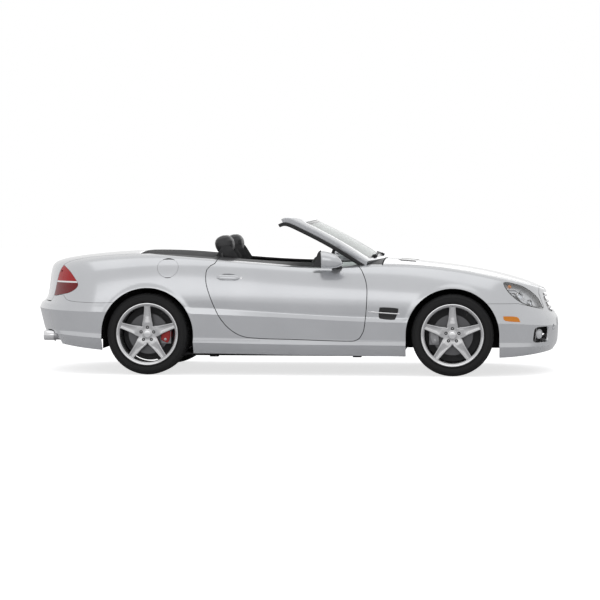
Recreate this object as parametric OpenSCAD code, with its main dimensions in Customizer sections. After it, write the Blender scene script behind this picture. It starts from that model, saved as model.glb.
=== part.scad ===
// Open two-seat car with a folding roof stowed in the boot.
// X points forward, Y to the car's left, Z up; the origin lies on the ground under the middle.

/* [Body] */
// Overall length
body_length = 4490; // [4200:10:4800]
// Overall width without mirrors
body_width = 1824; // [1700:2:1950]
// Height of the windscreen header
body_height = 1330; // [1250:5:1420]
// Distance between the axles
wheelbase = 2540; // [2400:10:2700]
// Distance from the nose to the front axle
front_overhang = 890; // [800:5:980]
// Radius of the wheel arch openings
arch_r = 386; // [375:1:400]
// Thickness of the hood, fenders and bumper skins
skin_t = 24; // [15:1:40]
// Thickness of a whole door
door_t = 110; // [80:2:130]
// Thickness of the rear quarter walls
quarter_t = 60; // [45:1:80]
// Gap between neighbouring panels
shut_gap = 5; // [5:0.5:7]
// How far a door's inner box stays inside its skin, so that it swings clear
door_step = 21; // [20:1:30]

/* [Wheels] */
// Outer diameter of a tyre
tyre_d = 682; // [640:2:700]
// Width of a front tyre
front_tyre_w = 255; // [225:5:275]
// Width of a rear tyre
rear_tyre_w = 285; // [245:5:295]
// Diameter of the rim flange
rim_d = 520; // [460:2:540]
// Distance from the widest body line in to the outer face of a tyre
tyre_inset = 16; // [10:1:30]
// Diameter of a brake disc
disc_d = 340; // [300:2:360]
// Radius of a wheel spindle
spindle_r = 24; // [18:1:32]
// Running clearance round a spindle
spindle_clear = 0.05; // [0.02:0.01:0.1]
// Diameter of the wheel bolt circle
bolt_pcd = 112; // [100:1:120]
// Distance from a front tyre's middle plane in to its steering axis
steer_inset = 20; // [10:1:40]

/* [Cabin] */
// Distance from the middle to a seat's middle
seat_y = 370; // [340:5:400]
// Width of a seat
seat_w = 500; // [440:5:540]
// Height of the cabin floor
floor_z = 190; // [180:5:220]
// Height of a seat cushion's top
cushion_z = 450; // [420:5:480]
// Diameter of the steering wheel
steering_wheel_d = 380; // [350:5:390]
// Thickness of the windscreen glass
glass_t = 6; // [4:1:8]
// Radius of the fuel flap
flap_r = 90; // [70:1:100]

/* [Hidden] */
half_l = body_length / 2;
half_w = body_width / 2;
nose_x = half_l;
front_axle = half_l - front_overhang;
rear_axle = front_axle - wheelbase;
rear_overhang = half_l + rear_axle;
tyre_r = tyre_d / 2;
front_y = half_w - tyre_inset - front_tyre_w / 2;
rear_y = half_w - tyre_inset - rear_tyre_w / 2;
steer_y = front_y - steer_inset;
$fn = 48;

// ---- Body surface -------------------------------------------------------------------------
// Ten lines run round the body from the sill to the shoulder. Each has a height, a half-width,
// and the places where it crosses the middle at the nose and at the tail. Heights and widths
// are guide values at thirteen even stations from tail to nose, smoothed by a cubic B-spline.

design = [4490, 1824, 1330, 2540, 890];
line_z = [
  [274, 236, 193, 180, 182, 177, 171, 168, 166, 160, 152, 152, 200],
  [345, 328, 300, 276, 272, 266, 260, 258, 257, 254, 248, 242, 238],
  [380, 362, 335, 316, 310, 304, 298, 295, 293, 290, 284, 278, 272],
  [540, 530, 524, 522, 512, 497, 483, 462, 447, 446, 446, 440, 400],
  [585, 575, 566, 566, 567, 541, 516, 496, 484, 482, 482, 478, 470],
  [612, 622, 645, 655, 648, 636, 628, 618, 610, 602, 598, 592, 520],
  [690, 712, 752, 765, 752, 742, 735, 728, 718, 706, 694, 668, 570],
  [790, 812, 852, 868, 858, 842, 828, 815, 806, 798, 778, 730, 625],
  [880, 905, 938, 952, 938, 916, 892, 875, 888, 888, 850, 772, 672],
  [930, 962, 1002, 1012, 975, 938, 908, 893, 930, 922, 876, 790, 690]
];
line_w = [
  [800, 830, 845, 850, 850, 850, 850, 850, 850, 850, 850, 840, 790],
  [862, 893, 903, 905, 903, 902, 902, 902, 902, 904, 904, 890, 850],
  [846, 878, 890, 888, 880, 878, 878, 880, 884, 890, 892, 878, 838],
  [862, 896, 911, 911, 909, 907, 906, 906, 908, 911, 912, 897, 860],
  [852, 886, 909, 909, 899, 894, 893, 893, 896, 902, 906, 890, 850],
  [838, 876, 906, 908, 903, 899, 897, 898, 902, 906, 906, 884, 838],
  [810, 850, 886, 893, 888, 884, 882, 882, 885, 888, 884, 850, 800],
  [776, 822, 858, 870, 866, 858, 853, 850, 848, 846, 838, 810, 760],
  [716, 764, 808, 832, 830, 822, 818, 816, 806, 792, 775, 755, 710],
  [620, 645, 680, 728, 772, 786, 792, 785, 735, 705, 680, 660, 620]
];
line_nose = [2200, 2228, 2238, 2245, 2236, 2196, 2172, 2150, 2136, 2118];
line_tail = [2130, 2190, 2205, 2245, 2225, 2175, 2158, 2148, 2142, 2098];
middle_z = [925, 993, 1032, 1040, 1010, 975, 960, 968, 974, 939, 898, 830, 660];
top_line = 9;
// A line named three times running is a crisp edge.
rows = [0, 0, 0, 1, 1, 1, 2, 2, 3, 3, 3, 4, 4, 5, 6, 7, 8, 9, 10, 11, 12, 13];
// How far out from the middle the four lines across the hood and the boot lie.
top_share = [0.78, 0.52, 0.26, 0.03];
nose_start = 1450;
tail_start = 1600;
nose_round = [2.8, 2.2];
tail_round = [2.2, 1.9];
ridge_reach = 560;

function pick(k, i) = i < 0 ? 2 * k[0] - k[-i] : i > 12 ? 2 * k[12] - k[24 - i] : k[i];
function spline(a, b, c, d, t) =
  (a * pow(1 - t, 3) + b * (3 * pow(t, 3) - 6 * t * t + 4)
   + c * (-3 * pow(t, 3) + 3 * t * t + 3 * t + 1) + d * pow(t, 3)) / 6;
function guide(k, x) =
  let (u = (x + 2245) / 4490 * 12, i = max(0, min(11, floor(u))))
  spline(pick(k, i - 1), pick(k, i), pick(k, i + 1), pick(k, i + 2), u - i);

// A point of line k. Station s runs 0 to 1 round the nose, to 2 along the side, to 3 at the tail.
function station_x(k, s, inset) =
  s < 1 ? nose_start + (line_nose[k] - inset - nose_start) * pow(sin(90 * (1 - s)), 2 / nose_round[0])
  : s <= 2 ? nose_start + (s - 1) * (-tail_start - nose_start)
  : -tail_start - (line_tail[k] - inset - tail_start) * pow(sin(90 * (s - 2)), 2 / tail_round[0]);
function closing(s) =
  s < 1 ? pow(cos(90 * (1 - s)), 2 / nose_round[1])
  : s <= 2 ? 1 : pow(max(0, cos(90 * (s - 2))), 2 / tail_round[1]);
function top_height(x, y, inset) =
  let (share = min(1, pow(abs(y) / guide(line_w[top_line], x), 2.4)))
  guide(middle_z, x) * (1 - share) + guide(line_z[top_line], x) * share - inset;
function line_point(k, s, inset) =
  let (x = station_x(k, s, inset), y = (guide(line_w[k], x) - inset) * closing(s))
  k == top_line ? [x, y, top_height(x, y, inset)]
  : [x, y, guide(line_z[k], x) - inset * max(0, (k - 5) / 4)];
function row_point(r, s, inset) =
  r <= top_line ? line_point(r, s, inset)
  : let (p = line_point(top_line, s, inset), f = top_share[r - top_line - 1],
         ridge = max(-ridge_reach, min(ridge_reach, p[0])), x = ridge + (p[0] - ridge) * f)
  [x, p[1] * f, top_height(x, p[1] * f, inset)];

function place_x(x) =
  x > design[0] / 2 - design[4] ? front_axle + (x - design[0] / 2 + design[4]) * front_overhang / design[4]
  : x < design[0] / 2 - design[4] - design[3] ? rear_axle
    + (x - design[0] / 2 + design[4] + design[3]) * rear_overhang / (design[0] - design[4] - design[3])
  : rear_axle + (x - design[0] / 2 + design[4] + design[3]) * wheelbase / design[3];
function place_y(y) = y * body_width / design[1];
function place_z(z) = z * body_height / design[2];
function place(p) = [place_x(p[0]), place_y(p[1]), place_z(p[2])];

function surface_point(i, s, inset) =
  place(spline(row_point(rows[max(0, i - 1)], s, inset), row_point(rows[i], s, inset),
               row_point(rows[min(len(rows) - 1, i + 1)], s, inset), [0, 0, 0], 0));

// A closed loft: each ring is the right half of a level, mirrored to the left.
module body_loft(inset, levels, stations, drop = 0) {
  half = [for (i = levels) [for (s = stations) surface_point(i, s, inset)]];
  n = len(stations);
  rings = [for (k = [0 : len(levels) - 1]) let (low = k == 0 ? drop : 0) concat(
    [for (p = half[k]) [p[0], -p[1], p[2] - low]],
    [for (j = [n - 2 : -1 : 1]) let (p = half[k][j]) [p[0], p[1], p[2] - low]])];
  m = len(rings[0]);
  last = (len(rings) - 1) * m;
  sides = [for (k = [0 : len(rings) - 2], j = [0 : m - 1])
    [k * m + j, k * m + (j + 1) % m, (k + 1) * m + (j + 1) % m, (k + 1) * m + j]];
  strip = [for (j = [0 : n - 2]) [j, j + 1, (m - j - 1) % m, (m - j) % m]];
  polyhedron([for (r = rings) each r],
    concat([for (f = sides) each [[f[0], f[1], f[2]], [f[0], f[2], f[3]]]],
           [for (f = strip) each strip_faces(f, 0, false)],
           [for (f = strip) each strip_faces(f, last, true)]));
}
function strip_faces(f, base, up) =
  let (q = [for (v = f) v + base])
  concat(q[1] != q[2] ? [up ? [q[0], q[1], q[2]] : [q[2], q[1], q[0]]] : [],
         q[0] != q[3] ? [up ? [q[0], q[2], q[3]] : [q[3], q[2], q[0]]] : []);

fine_levels = [1, 4, 6, 7, 9, 11, 12, 13, 14, 15, 16, 17, 18, 19, 20, 21];
coarse_levels = [1, 7, 10, 13, 15, 17, 19, 21];
fine_stations = [for (j = [0 : 8]) j / 8, for (j = [1 : 26]) 1 + j / 26, for (j = [1 : 8]) 2 + j / 8];
coarse_stations = [for (j = [0 : 5]) j / 5, for (j = [1 : 13]) 1 + j / 13, for (j = [1 : 5]) 2 + j / 5];
inner_drop = 80;

module outer_body() body_loft(0, fine_levels, fine_stations);
module inner_body(t) body_loft(t, coarse_levels, coarse_stations, inner_drop);
// Makes one mesh of a boolean between free-form shapes.
module one_mesh() resize([0, 0, 0]) children();
module shell(t) difference() { outer_body(); inner_body(t); }
// side is -1 for the right half of the car and 1 for the left; shapes are drawn on the right.
module on_side(side) mirror([0, side > 0 ? 1 : 0, 0]) children();
module both() { on_side(-1) children(); on_side(1) children(); }

// ---- Panel outlines, as (x, z) in side view or (x, y) in plan ------------------------------
far = 1400;
function side_outline(points) = [for (p = points) [place_x(p[0]), place_z(p[1])]];
function plan_outline(points) = [for (p = points) [place_x(p[0]), place_y(p[1])]];
// Extrudes a side outline outward from inner_y on the right half.
module side_block(points, inner_y = 0)
  translate([0, -inner_y, 0]) rotate([90, 0, 0]) linear_extrude(far - inner_y) polygon(side_outline(points));
// Extrudes the mirrored plan outline up from low_z.
module plan_block(points, low_z, grow = 0)
  translate([0, 0, low_z]) linear_extrude(far) offset(delta = grow) {
    polygon(plan_outline(points));
    mirror([0, 1]) polygon(plan_outline(points));
  }
// Box from one corner to the other.
module span(low, high) translate(low) cube(high - low);

lid_gap = shut_gap / 2 + 2.6;
door_line = [[-607, 547], [-518, 414], [-398, 333], [-249, 312], [12, 305], [457, 293], [560, 301],
  [604, 346], [627, 419], [645, 625], [641, 758], [604, 862], [550, 960], [550, 1200],
  [-600, 1200], [-607, 962], [-660, 905], [-689, 858], [-681, 740]];
front_bumper_line = [[1560, 60], [1640, 602], [1895, 600], [2100, 545], [2112, 560], [2070, 676],
  [2100, 1200], [2400, 1200], [2400, 60]];
rear_bumper_line = [[-1370, 60], [-1440, 604], [-1860, 614], [-1930, 660], [-2018, 646], [-2110, 648],
  [-2400, 655], [-2400, 60]];
headlamp_line = [[1776, 772], [1880, 754], [1962, 722], [2050, 650], [2104, 556], [2010, 572],
  [1911, 614], [1820, 690]];
tail_lamp_line = [[-1782, 752], [-1815, 802], [-1872, 860], [-1945, 908], [-2010, 892], [-2080, 850],
  [-2300, 835], [-2300, 668], [-2110, 656], [-2018, 653], [-1930, 668], [-1864, 682], [-1803, 715]];
sill_line = [[-1100, 60], [-1100, 288], [-245, 288], [-245, 330], [520, 330], [541, 288], [1300, 288], [1300, 60]];
hood_rear_x = 770;
hood_side = [for (j = [0 : 24]) let (p = line_point(top_line, j / 12, 0)) if (p[0] > hood_rear_x) [p[0], p[1]]];
hood_line = concat([[hood_rear_x, -1], [nose_x, -1]], [for (p = hood_side) [p[0] + (p[1] < 500 ? 2 : 0), p[1]]],
  [[hood_rear_x, hood_side[len(hood_side) - 1][1]]]);
lid_front_x = -1268;
lid_line = [[lid_front_x, -1], [lid_front_x, 655], [-1500, 638], [-1800, 602], [-1950, 560], [-2400, 560],
  [-2400, -1]];
cowl_line = [[540, -1], [540, 705], [765, 712], [765, -1]];
deck_line = [[-1262, -1], [-1262, 655], [-1000, 655], [-650, 655], [-650, -1]];
lid_bottom_z = 607;

module arch_cut(x) translate([place_x(x), 0, tyre_r]) rotate([90, 0, 0]) {
  cylinder(r = arch_r, h = far, $fn = 96);
  translate([-arch_r, -tyre_r, 0]) cube([2 * arch_r, tyre_r, far]);
}
design_front_axle = design[0] / 2 - design[4];
design_rear_axle = design_front_axle - design[3];
paint = [0.80, 0.81, 0.83];
black = [0.06, 0.06, 0.065];
metal = [0.55, 0.55, 0.57];

// ---- Outer panels ---------------------------------------------------------------------------
// A side outline moved and grown by a gap, for the hole that a panel lies in.
module grown(points, inner_y = 0, by = shut_gap)
  translate([0, -inner_y, 0]) rotate([90, 0, 0]) linear_extrude(far - inner_y)
    offset(delta = by) polygon(side_outline(points));
function door_inner_y() = place_y(792) - door_t;

module front_bumper() color(paint) one_mesh() difference() {
  intersection() { shell(skin_t); both_blocks(front_bumper_line); }
  plan_block(hood_line, 640, lid_gap);
  both() arch_cut(design_front_axle);
  both() grown(headlamp_line, 300, 1);
  grille_block(1);
  both() fog_block(1);
  translate([half_l - 200, -tow_y, tow_z]) rotate([0, 90, 0]) cylinder(r = 26, h = 300, $fn = 24);
}
module both_blocks(points) both() translate([0, 1, 0]) side_block(points);
module rear_bumper() color(paint) one_mesh() difference() {
  intersection() { shell(skin_t); both_blocks(rear_bumper_line); }
  both() arch_cut(design_rear_axle);
  both() grown(tail_lamp_line, 300, 1);
  plan_block(lid_line, place_z(lid_bottom_z) - shut_gap - 2, lid_gap);
  both() span([-far * 2, -tip_y - tip_spread - 55, 0], [place_x(-1950), -tip_y + tip_spread + 55, tip_z + 50]);
}
module front_fender(side) color(paint) on_side(side) one_mesh() difference() {
  intersection() {
    shell(skin_t);
    side_block([[542, 289], [1700, 289], [2400, 400], [2400, 1200], [560, 1200], [560, 320]], 300);
  }
  grown(door_line, 200, shut_gap + door_lead);
  grown(front_bumper_line, 200, 1);
  grown(headlamp_line, 200, 1);
  plan_block(hood_line, 640, lid_gap);
  arch_cut(design_front_axle);
  grille_block(1);
  plan_block(cowl_line, 640, 1);
  screen_slab(-0.03, 0.4, 1.06, -60, 20);
}
module rear_quarter(side) color(paint) on_side(side) one_mesh() difference() {
  intersection() {
    shell(quarter_t);
    side_block([[-2400, 289], [-246, 289], [-246, 420], [-520, 480], [-560, 1200], [-2400, 1200]], 300);
  }
  grown(door_line, 200, shut_gap + 1.5);
  intersection() {
    grown(door_line, 200, shut_gap + 11);
    span([-far, -place_y(830), 0], [far, 0, far]);
  }
  span([place_x(-640), -place_y(792) + door_t, 0], [0, 0, far]);
  grown(rear_bumper_line, 200, 1);
  grown(tail_lamp_line, 200, 1);
  plan_block(lid_line, 500, lid_gap);
  plan_block(deck_line, 500, 0);
  arch_cut(design_rear_axle);
  if (side < 0) flap_pocket();
}
module hood() color(paint) one_mesh() intersection() {
  shell(skin_t);
  plan_block(hood_line, 690, -lid_gap);
}
module trunk_lid() color(paint) one_mesh() intersection() {
  shell(skin_t);
  plan_block(lid_line, place_z(lid_bottom_z), -lid_gap);
}
module door(side) color(paint) on_side(side) difference() {
  door_body();
  for (z = hinge_z) translate([hinge_x, -hinge_y, z - hinge_half - 1])
    cylinder(r = hinge_r + spindle_clear, h = 2 * hinge_half + 2);
}
module door_body() one_mesh() difference() {
  door_layers();
  for (z = hinge_z) {
    translate([hinge_x, -hinge_y, z - hinge_arm / 2 - shut_gap])
      cylinder(r = hinge_boss_r + 1.5, h = hinge_arm + 2 * shut_gap, $fn = 32);
    span([hinge_x - hinge_boss_r - 4, -hinge_y - 2, z - hinge_arm / 2 - shut_gap],
      [hinge_x + far, 0, z + hinge_arm / 2 + shut_gap]);
  }
}
module door_layers() {
  intersection() { shell(door_skin_t); side_block(door_line, door_inner_y()); }
  intersection() {
    shell(door_t);
    side_block(door_line, door_inner_y());
    translate([0, -door_inner_y(), 0]) rotate([90, 0, 0]) linear_extrude(far)
      offset(delta = -door_step) polygon(side_outline(door_line));
  }
}
door_skin_t = 20;
door_lead = 3.5;
hinge_x = place_x(560);
hinge_y = half_w - 28;
hinge_z = [place_z(440), place_z(640)];
hinge_half = 42;
hinge_r = 5;
hinge_boss_r = 8;
hinge_arm = 30;
hinge_reach = 100;
// Bent arm from the hinge post round to the pin, on the right half.
module door_hinge(z) {
  translate([hinge_x, -hinge_y, z - hinge_half]) cylinder(r = hinge_r, h = 2 * hinge_half);
  translate([hinge_x, -hinge_y, z - hinge_arm / 2]) cylinder(r = hinge_boss_r, h = hinge_arm);
  span([hinge_x - hinge_boss_r, -hinge_y, z - hinge_arm / 2],
    [hinge_x + hinge_boss_r - 3, -hinge_y + hinge_reach + hinge_boss_r, z + hinge_arm / 2]);
  span([hinge_x, -hinge_y + hinge_reach - hinge_boss_r, z - hinge_arm / 2],
    [place_x(post_x), -hinge_y + hinge_reach + hinge_boss_r, z + hinge_arm / 2]);
}
post_x = 690;
module side_sills() color(paint) both() one_mesh() difference() {
  intersection() { shell(quarter_t); side_block(sill_line, 300); }
  grown(door_line, 200, shut_gap + 1);
  arch_cut(design_front_axle);
  arch_cut(design_rear_axle);
}
flap_centre = [-1015, 848, 896];
flap_lean = 28;
flap_t = 10;
pocket_t = 40;
module flap_cylinder(r) translate([place_x(flap_centre[0]), -place_y(flap_centre[1]), place_z(flap_centre[2])])
  rotate([90 - flap_lean, 0, 0]) translate([0, 0, -120]) cylinder(r = r, h = 300, $fn = 48);
module flap_pocket() difference() { flap_cylinder(flap_r); inner_body(pocket_t); }
module fuel_flap() color(paint) one_mesh() intersection() {
  shell(flap_t);
  flap_cylinder(flap_r - shut_gap - 2);
}
module rear_deck() color(black) one_mesh() intersection() {
  shell(skin_t);
  plan_block([[-1260, -1], [-1260, 654], [-650, 654], [-650, -1]], 700);
}

// ---- Lamps and grille -----------------------------------------------------------------------
lamp_t = 60;
module headlamps() color([0.85, 0.87, 0.9]) both() one_mesh() difference() {
  intersection() { shell(lamp_t); side_block(headlamp_line, 300); }
  grille_block(1);
  plan_block(hood_line, 640, lid_gap);
}
module tail_lamps() color([0.6, 0.02, 0.03]) both() one_mesh() difference() {
  intersection() { shell(lamp_t); side_block(tail_lamp_line, 300); }
  plan_block(lid_line, 500, lid_gap);
}
grille_top_z = 682;
grille_bottom_z = 515;
grille_half_w = 370;
module grille_block(grow) span([nose_x - 400, -grille_half_w - grow, place_z(grille_bottom_z) - grow],
  [nose_x + 60, grille_half_w + grow, place_z(grille_top_z) + grow]);
module grille() color(black) one_mesh() intersection() { shell(lamp_t); grille_block(0); }
fog_y = 600;
fog_z = 336;
module fog_block(grow) translate([nose_x - 450, -fog_y, place_z(fog_z)]) rotate([0, 90, 0])
  scale([0.6, 1, 1]) cylinder(r = 105 + grow, h = 600, $fn = 32);
module fog_lamps() color(black) both() one_mesh() intersection() {
  difference() { inner_body(8); inner_body(lamp_t); }
  fog_block(0);
}

// ---- Floor, bulkheads and rails -------------------------------------------------------------
rail_y = 430;
rail_w = 60;
rail_out = rail_y + rail_w / 2;
rail_in = rail_y - rail_w / 2;
floor_t = 20;
floor_half_w = 789;
plate_t = 30;
firewall_x = 730;
bulkhead_x = -690;
tunnel_w = 236;
tunnel_top = 380;
boot_floor_z = 480;
front_rail_z = [340, 440];
rear_rail_z = [364, boot_floor_z - floor_t];
beam_x = 2070;
tail_beam_x = -2080;
tower_z = 660;
tow_z = 390;
tow_y = 380;
tow_r = 8.5;
jack_x = [-640, 560];
jack_y = 720;
jack_half = 35;
jack_drop = 22;
module front_structure() one_mesh() intersection() {
  inner_body(skin_t + 1);
  union() {
    span([place_x(firewall_x), -far, place_z(295)], [place_x(firewall_x) + plate_t, far, place_z(880)]);
    span([place_x(firewall_x), -place_y(floor_half_w), floor_z - floor_t], [place_x(firewall_x) + plate_t, place_y(floor_half_w), place_z(300)]);
    both() span([place_x(post_x), -far, place_z(300)], [place_x(firewall_x), -place_y(700), place_z(860)]);
    both() span([place_x(firewall_x), -far, place_z(745)], [place_x(1800), -place_y(720), place_z(775)]);
    span([place_x(beam_x), -place_y(440), front_rail_z[0]], [nose_x, place_y(440), front_rail_z[1]]);
  }
}
module rear_structure() one_mesh() intersection() {
  inner_body(quarter_t + 1.5);
  union() {
    span([place_x(bulkhead_x) - plate_t, -far, floor_z - floor_t], [place_x(bulkhead_x), far, place_z(930)]);
    span([place_x(tail_beam_x), -place_y(760), rear_rail_z[1]], [place_x(-1590), place_y(760), boot_floor_z]);
    span([place_x(-1590), -rail_out, rear_rail_z[1]], [place_x(bulkhead_x), rail_out, boot_floor_z]);
    span([place_x(-1262), -688, place_z(900)], [place_x(-1232), 688, place_z(970)]);
  }
}
module tail_beam() one_mesh() intersection() {
  inner_body(skin_t + 0.2);
  span([-half_l, -place_y(600), place_z(420)], [place_x(tail_beam_x) + 6, place_y(590), place_z(540)]);
}
module floor_pan() color([0.2, 0.2, 0.21]) {
  both() for (z = hinge_z) door_hinge(z);
  span([place_x(bulkhead_x), -place_y(floor_half_w), floor_z - floor_t],
    [place_x(firewall_x), place_y(floor_half_w), floor_z]);
  span([place_x(bulkhead_x), -tunnel_w / 2, floor_z], [place_x(firewall_x), tunnel_w / 2, tunnel_top]);
  difference() {
    front_structure();
    translate([place_x(beam_x) - 1, -tow_y, tow_z]) rotate([0, 90, 0]) cylinder(r = tow_r, h = 200);
  }
  rear_structure();
  tail_beam();
  both() {
    span([place_x(firewall_x) + plate_t, -rail_out, front_rail_z[0]],
      [place_x(beam_x), -rail_in, front_rail_z[1]]);
    span([place_x(tail_beam_x) + 4, -rail_out, rear_rail_z[0]], [place_x(bulkhead_x) - plate_t, -rail_in, rear_rail_z[1]]);
    span([front_axle - 70, -rail_out, front_rail_z[1]], [front_axle + 70, -rail_in, tower_z + 15]);
    span([front_axle - 35, -592, tower_z], [front_axle + 35, -rail_out, tower_z + 15]);
    for (x = jack_x) span([place_x(x) - jack_half, -jack_y - jack_half, floor_z - floor_t - jack_drop],
      [place_x(x) + jack_half, -jack_y + jack_half, floor_z - floor_t]);
  }
}
liner_t = 4;
liner_in = rail_out;
liner_out = [795, 788];
liner_flange = 40;
liner_drop = 140;
module liner(x, out) translate([place_x(x), -place_y(out), tyre_r]) rotate([-90, 0, 0]) {
  width = place_y(out) - liner_in;
  for (end = [-1, 1]) mirror([end < 0 ? 1 : 0, 0, 0]) {
    translate([arch_r, 0, 0]) cube([liner_t, liner_drop, width]);
    translate([arch_r - liner_flange, 0, width - liner_t]) cube([liner_flange, liner_drop, liner_t]);
  }
  rotate([0, 0, 180]) rotate_extrude(angle = 180, $fn = 96) polygon([
    [arch_r, 0], [arch_r + liner_t, 0], [arch_r + liner_t, width], [arch_r - liner_flange, width],
    [arch_r - liner_flange, width - liner_t], [arch_r, width - liner_t]]);
}
module wheel_liners() color(black) both() {
  liner(design_front_axle, liner_out[0]);
  liner(design_rear_axle, liner_out[1]);
}

// ---- Windscreen -----------------------------------------------------------------------------
// a runs up the glass and q across it, from -1 to 1.
screen_bottom = [749, 700, 967];
screen_bottom_sweep = [103, 14];
screen_top = [121, 560, 1304];
screen_top_sweep = [67, 27];
screen_bulge = 14;
header_drop = 3900;
header_end = 1.26;
screen_lean = atan2(screen_bottom[0] - screen_top[0], screen_top[2] - screen_bottom[2]);
function screen_point(a, q, out) =
  let (low = [screen_bottom[0] - screen_bottom_sweep[0] * q * q, screen_bottom[1] * q,
              screen_bottom[2] - screen_bottom_sweep[1] * q * q],
       high = [screen_top[0] - screen_top_sweep[0] * q * q, screen_top[1] * q,
               screen_top[2] - screen_top_sweep[1] * q * q],
       rise = out + screen_bulge * sin(180 * a))
  place(low + (high - low) * a + rise * [cos(screen_lean), 0, sin(screen_lean)]
    - [0, 0, header_drop * pow(max(0, a - 1), 3)]);
module screen_slab(a0, a1, q_max, low, high, n = 10, k = 4) {
  top = [for (i = [0 : k], j = [0 : n]) screen_point(a0 + (a1 - a0) * i / k, q_max * (2 * j / n - 1), high)];
  under = [for (i = [0 : k], j = [0 : n]) screen_point(a0 + (a1 - a0) * i / k, q_max * (2 * j / n - 1), low)];
  m = n + 1;
  half = (k + 1) * m;
  grid = [for (i = [0 : k - 1], j = [0 : n - 1]) [i * m + j, i * m + j + 1, (i + 1) * m + j + 1, (i + 1) * m + j]];
  rim = concat([for (j = [0 : n - 1]) [j + 1, j]], [for (j = [0 : n - 1]) [k * m + j, k * m + j + 1]],
    [for (i = [0 : k - 1]) [i * m, (i + 1) * m]], [for (i = [0 : k - 1]) [(i + 1) * m + n, i * m + n]]);
  polyhedron(concat(top, under), concat(
    [for (f = grid) each [[f[2], f[1], f[0]], [f[3], f[2], f[0]]]],
    [for (f = grid) each [[f[0] + half, f[1] + half, f[2] + half], [f[0] + half, f[2] + half, f[3] + half]]],
    [for (e = rim) each [[e[1] + half, e[1], e[0]], [e[0] + half, e[1] + half, e[0]]]]));
}
module windscreen_frame() color(black) one_mesh() difference() {
  union() {
    screen_slab(-0.02, header_end, 1.06, -42, 8, k = 12);
    intersection() {
      shell(skin_t);
      plan_block([[655, -1], [655, 703], [765, 710], [765, -1]], 850);
    }
  }
  screen_slab(0.02, 0.94, 0.96, -90, 90);
}
module windscreen_glass() color([0.6, 0.7, 0.72, 0.35]) screen_slab(0.0205, 0.9395, 0.9595, -glass_t, 0);
module wipers() color(black) {
  for (y = [-420, 140]) hull() {
    translate(screen_point(0.06, y / 700, 22)) sphere(r = 8, $fn = 12);
    translate(screen_point(0.09, (y + 520) / 700, 22)) sphere(r = 6, $fn = 12);
  }
}

// ---- Cabin ----------------------------------------------------------------------------------
wheel_centre = [60, seat_y, 790];
wheel_tilt = 24;
column_r = 20;
module on_column() translate([place_x(wheel_centre[0]), wheel_centre[1], wheel_centre[2]])
  rotate([0, -90 + wheel_tilt, 0]) children();
dash_half_w = 660;
module dashboard() color(black) difference() {
  union() {
    translate([0, dash_half_w, 0]) rotate([90, 0, 0]) linear_extrude(2 * dash_half_w)
      polygon(side_outline([[firewall_x - 0.3, 520], [firewall_x - 0.3, 860], [640, 882], [500, 900], [330, 895], [250, 850],
        [270, 640], [420, 520]]));
    on_column() translate([0, 0, -250]) cylinder(r = 45, h = 205);
    on_column() translate([0, 0, -60]) cylinder(r = column_r, h = 62);
  }
}
module steering_wheel() color(black) on_column() {
  rotate_extrude($fn = 64) translate([steering_wheel_d / 2 - 16, 0]) circle(r = 16, $fn = 16);
  difference() {
    union() {
      translate([0, 0, -20]) cylinder(r = 70, h = 42);
      for (turn = [0, 120, 240]) rotate([0, 0, turn + 90]) translate([55, -22, -8]) cube([steering_wheel_d / 2 - 82, 44, 16]);
    }
    translate([0, 0, -25]) cylinder(r = column_r + spindle_clear, h = 30);
  }
}
seat_front = -30;
seat_back = -500;
module seat(side) color([0.09, 0.09, 0.095]) on_side(side) {
  translate([0, -seat_y + seat_w / 2, 0]) rotate([90, 0, 0]) linear_extrude(seat_w)
    polygon([[seat_front, cushion_z], [seat_front + 40, cushion_z - 60], [seat_front + 10, floor_z + 70],
      [seat_back, floor_z + 70], [seat_back, cushion_z - 20]]);
  translate([0, -seat_y + seat_w / 2 - 10, 0]) rotate([90, 0, 0]) linear_extrude(seat_w - 20)
    polygon([[seat_back + 60, floor_z + 70.4 + cushion_z - 260], [seat_back - 60, cushion_z + 560],
      [seat_back - 130, cushion_z + 560], [seat_back - 110, cushion_z - 20], [seat_back - 0.4, cushion_z - 20]]);
  translate([0, -seat_y + 150, 0]) rotate([90, 0, 0]) linear_extrude(300)
    polygon([[seat_back - 62, cushion_z + 560.4], [seat_back - 15, cushion_z + 700], [seat_back - 110, cushion_z + 710],
      [seat_back - 130, cushion_z + 560.4]]);
  translate([seat_back, -seat_y - 180, floor_z]) cube([430, 40, 70]);
  translate([seat_back, -seat_y + 140, floor_z]) cube([430, 40, 70]);
}
module centre_console() color(black) {
  translate([0, 105, 0]) rotate([90, 0, 0]) linear_extrude(210)
    polygon([[-600, tunnel_top], [-600, 560], [-250, 560], [-120, 500], [240, 530], [265, tunnel_top]]);
}
module interior_mirror() color(black) {
  translate([place_x(110), 0, place_z(1195)]) rotate([90, 0, 0]) linear_extrude(230, center = true)
    polygon([[-12, -30], [16, -30], [20, 30], [-8, 30]]);
  hull() {
    translate([place_x(124), 0, place_z(1212)]) sphere(r = 9, $fn = 12);
    translate(screen_point(0.86, 0, -glass_t - 8.3)) sphere(r = 8, $fn = 12);
  }
}

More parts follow.
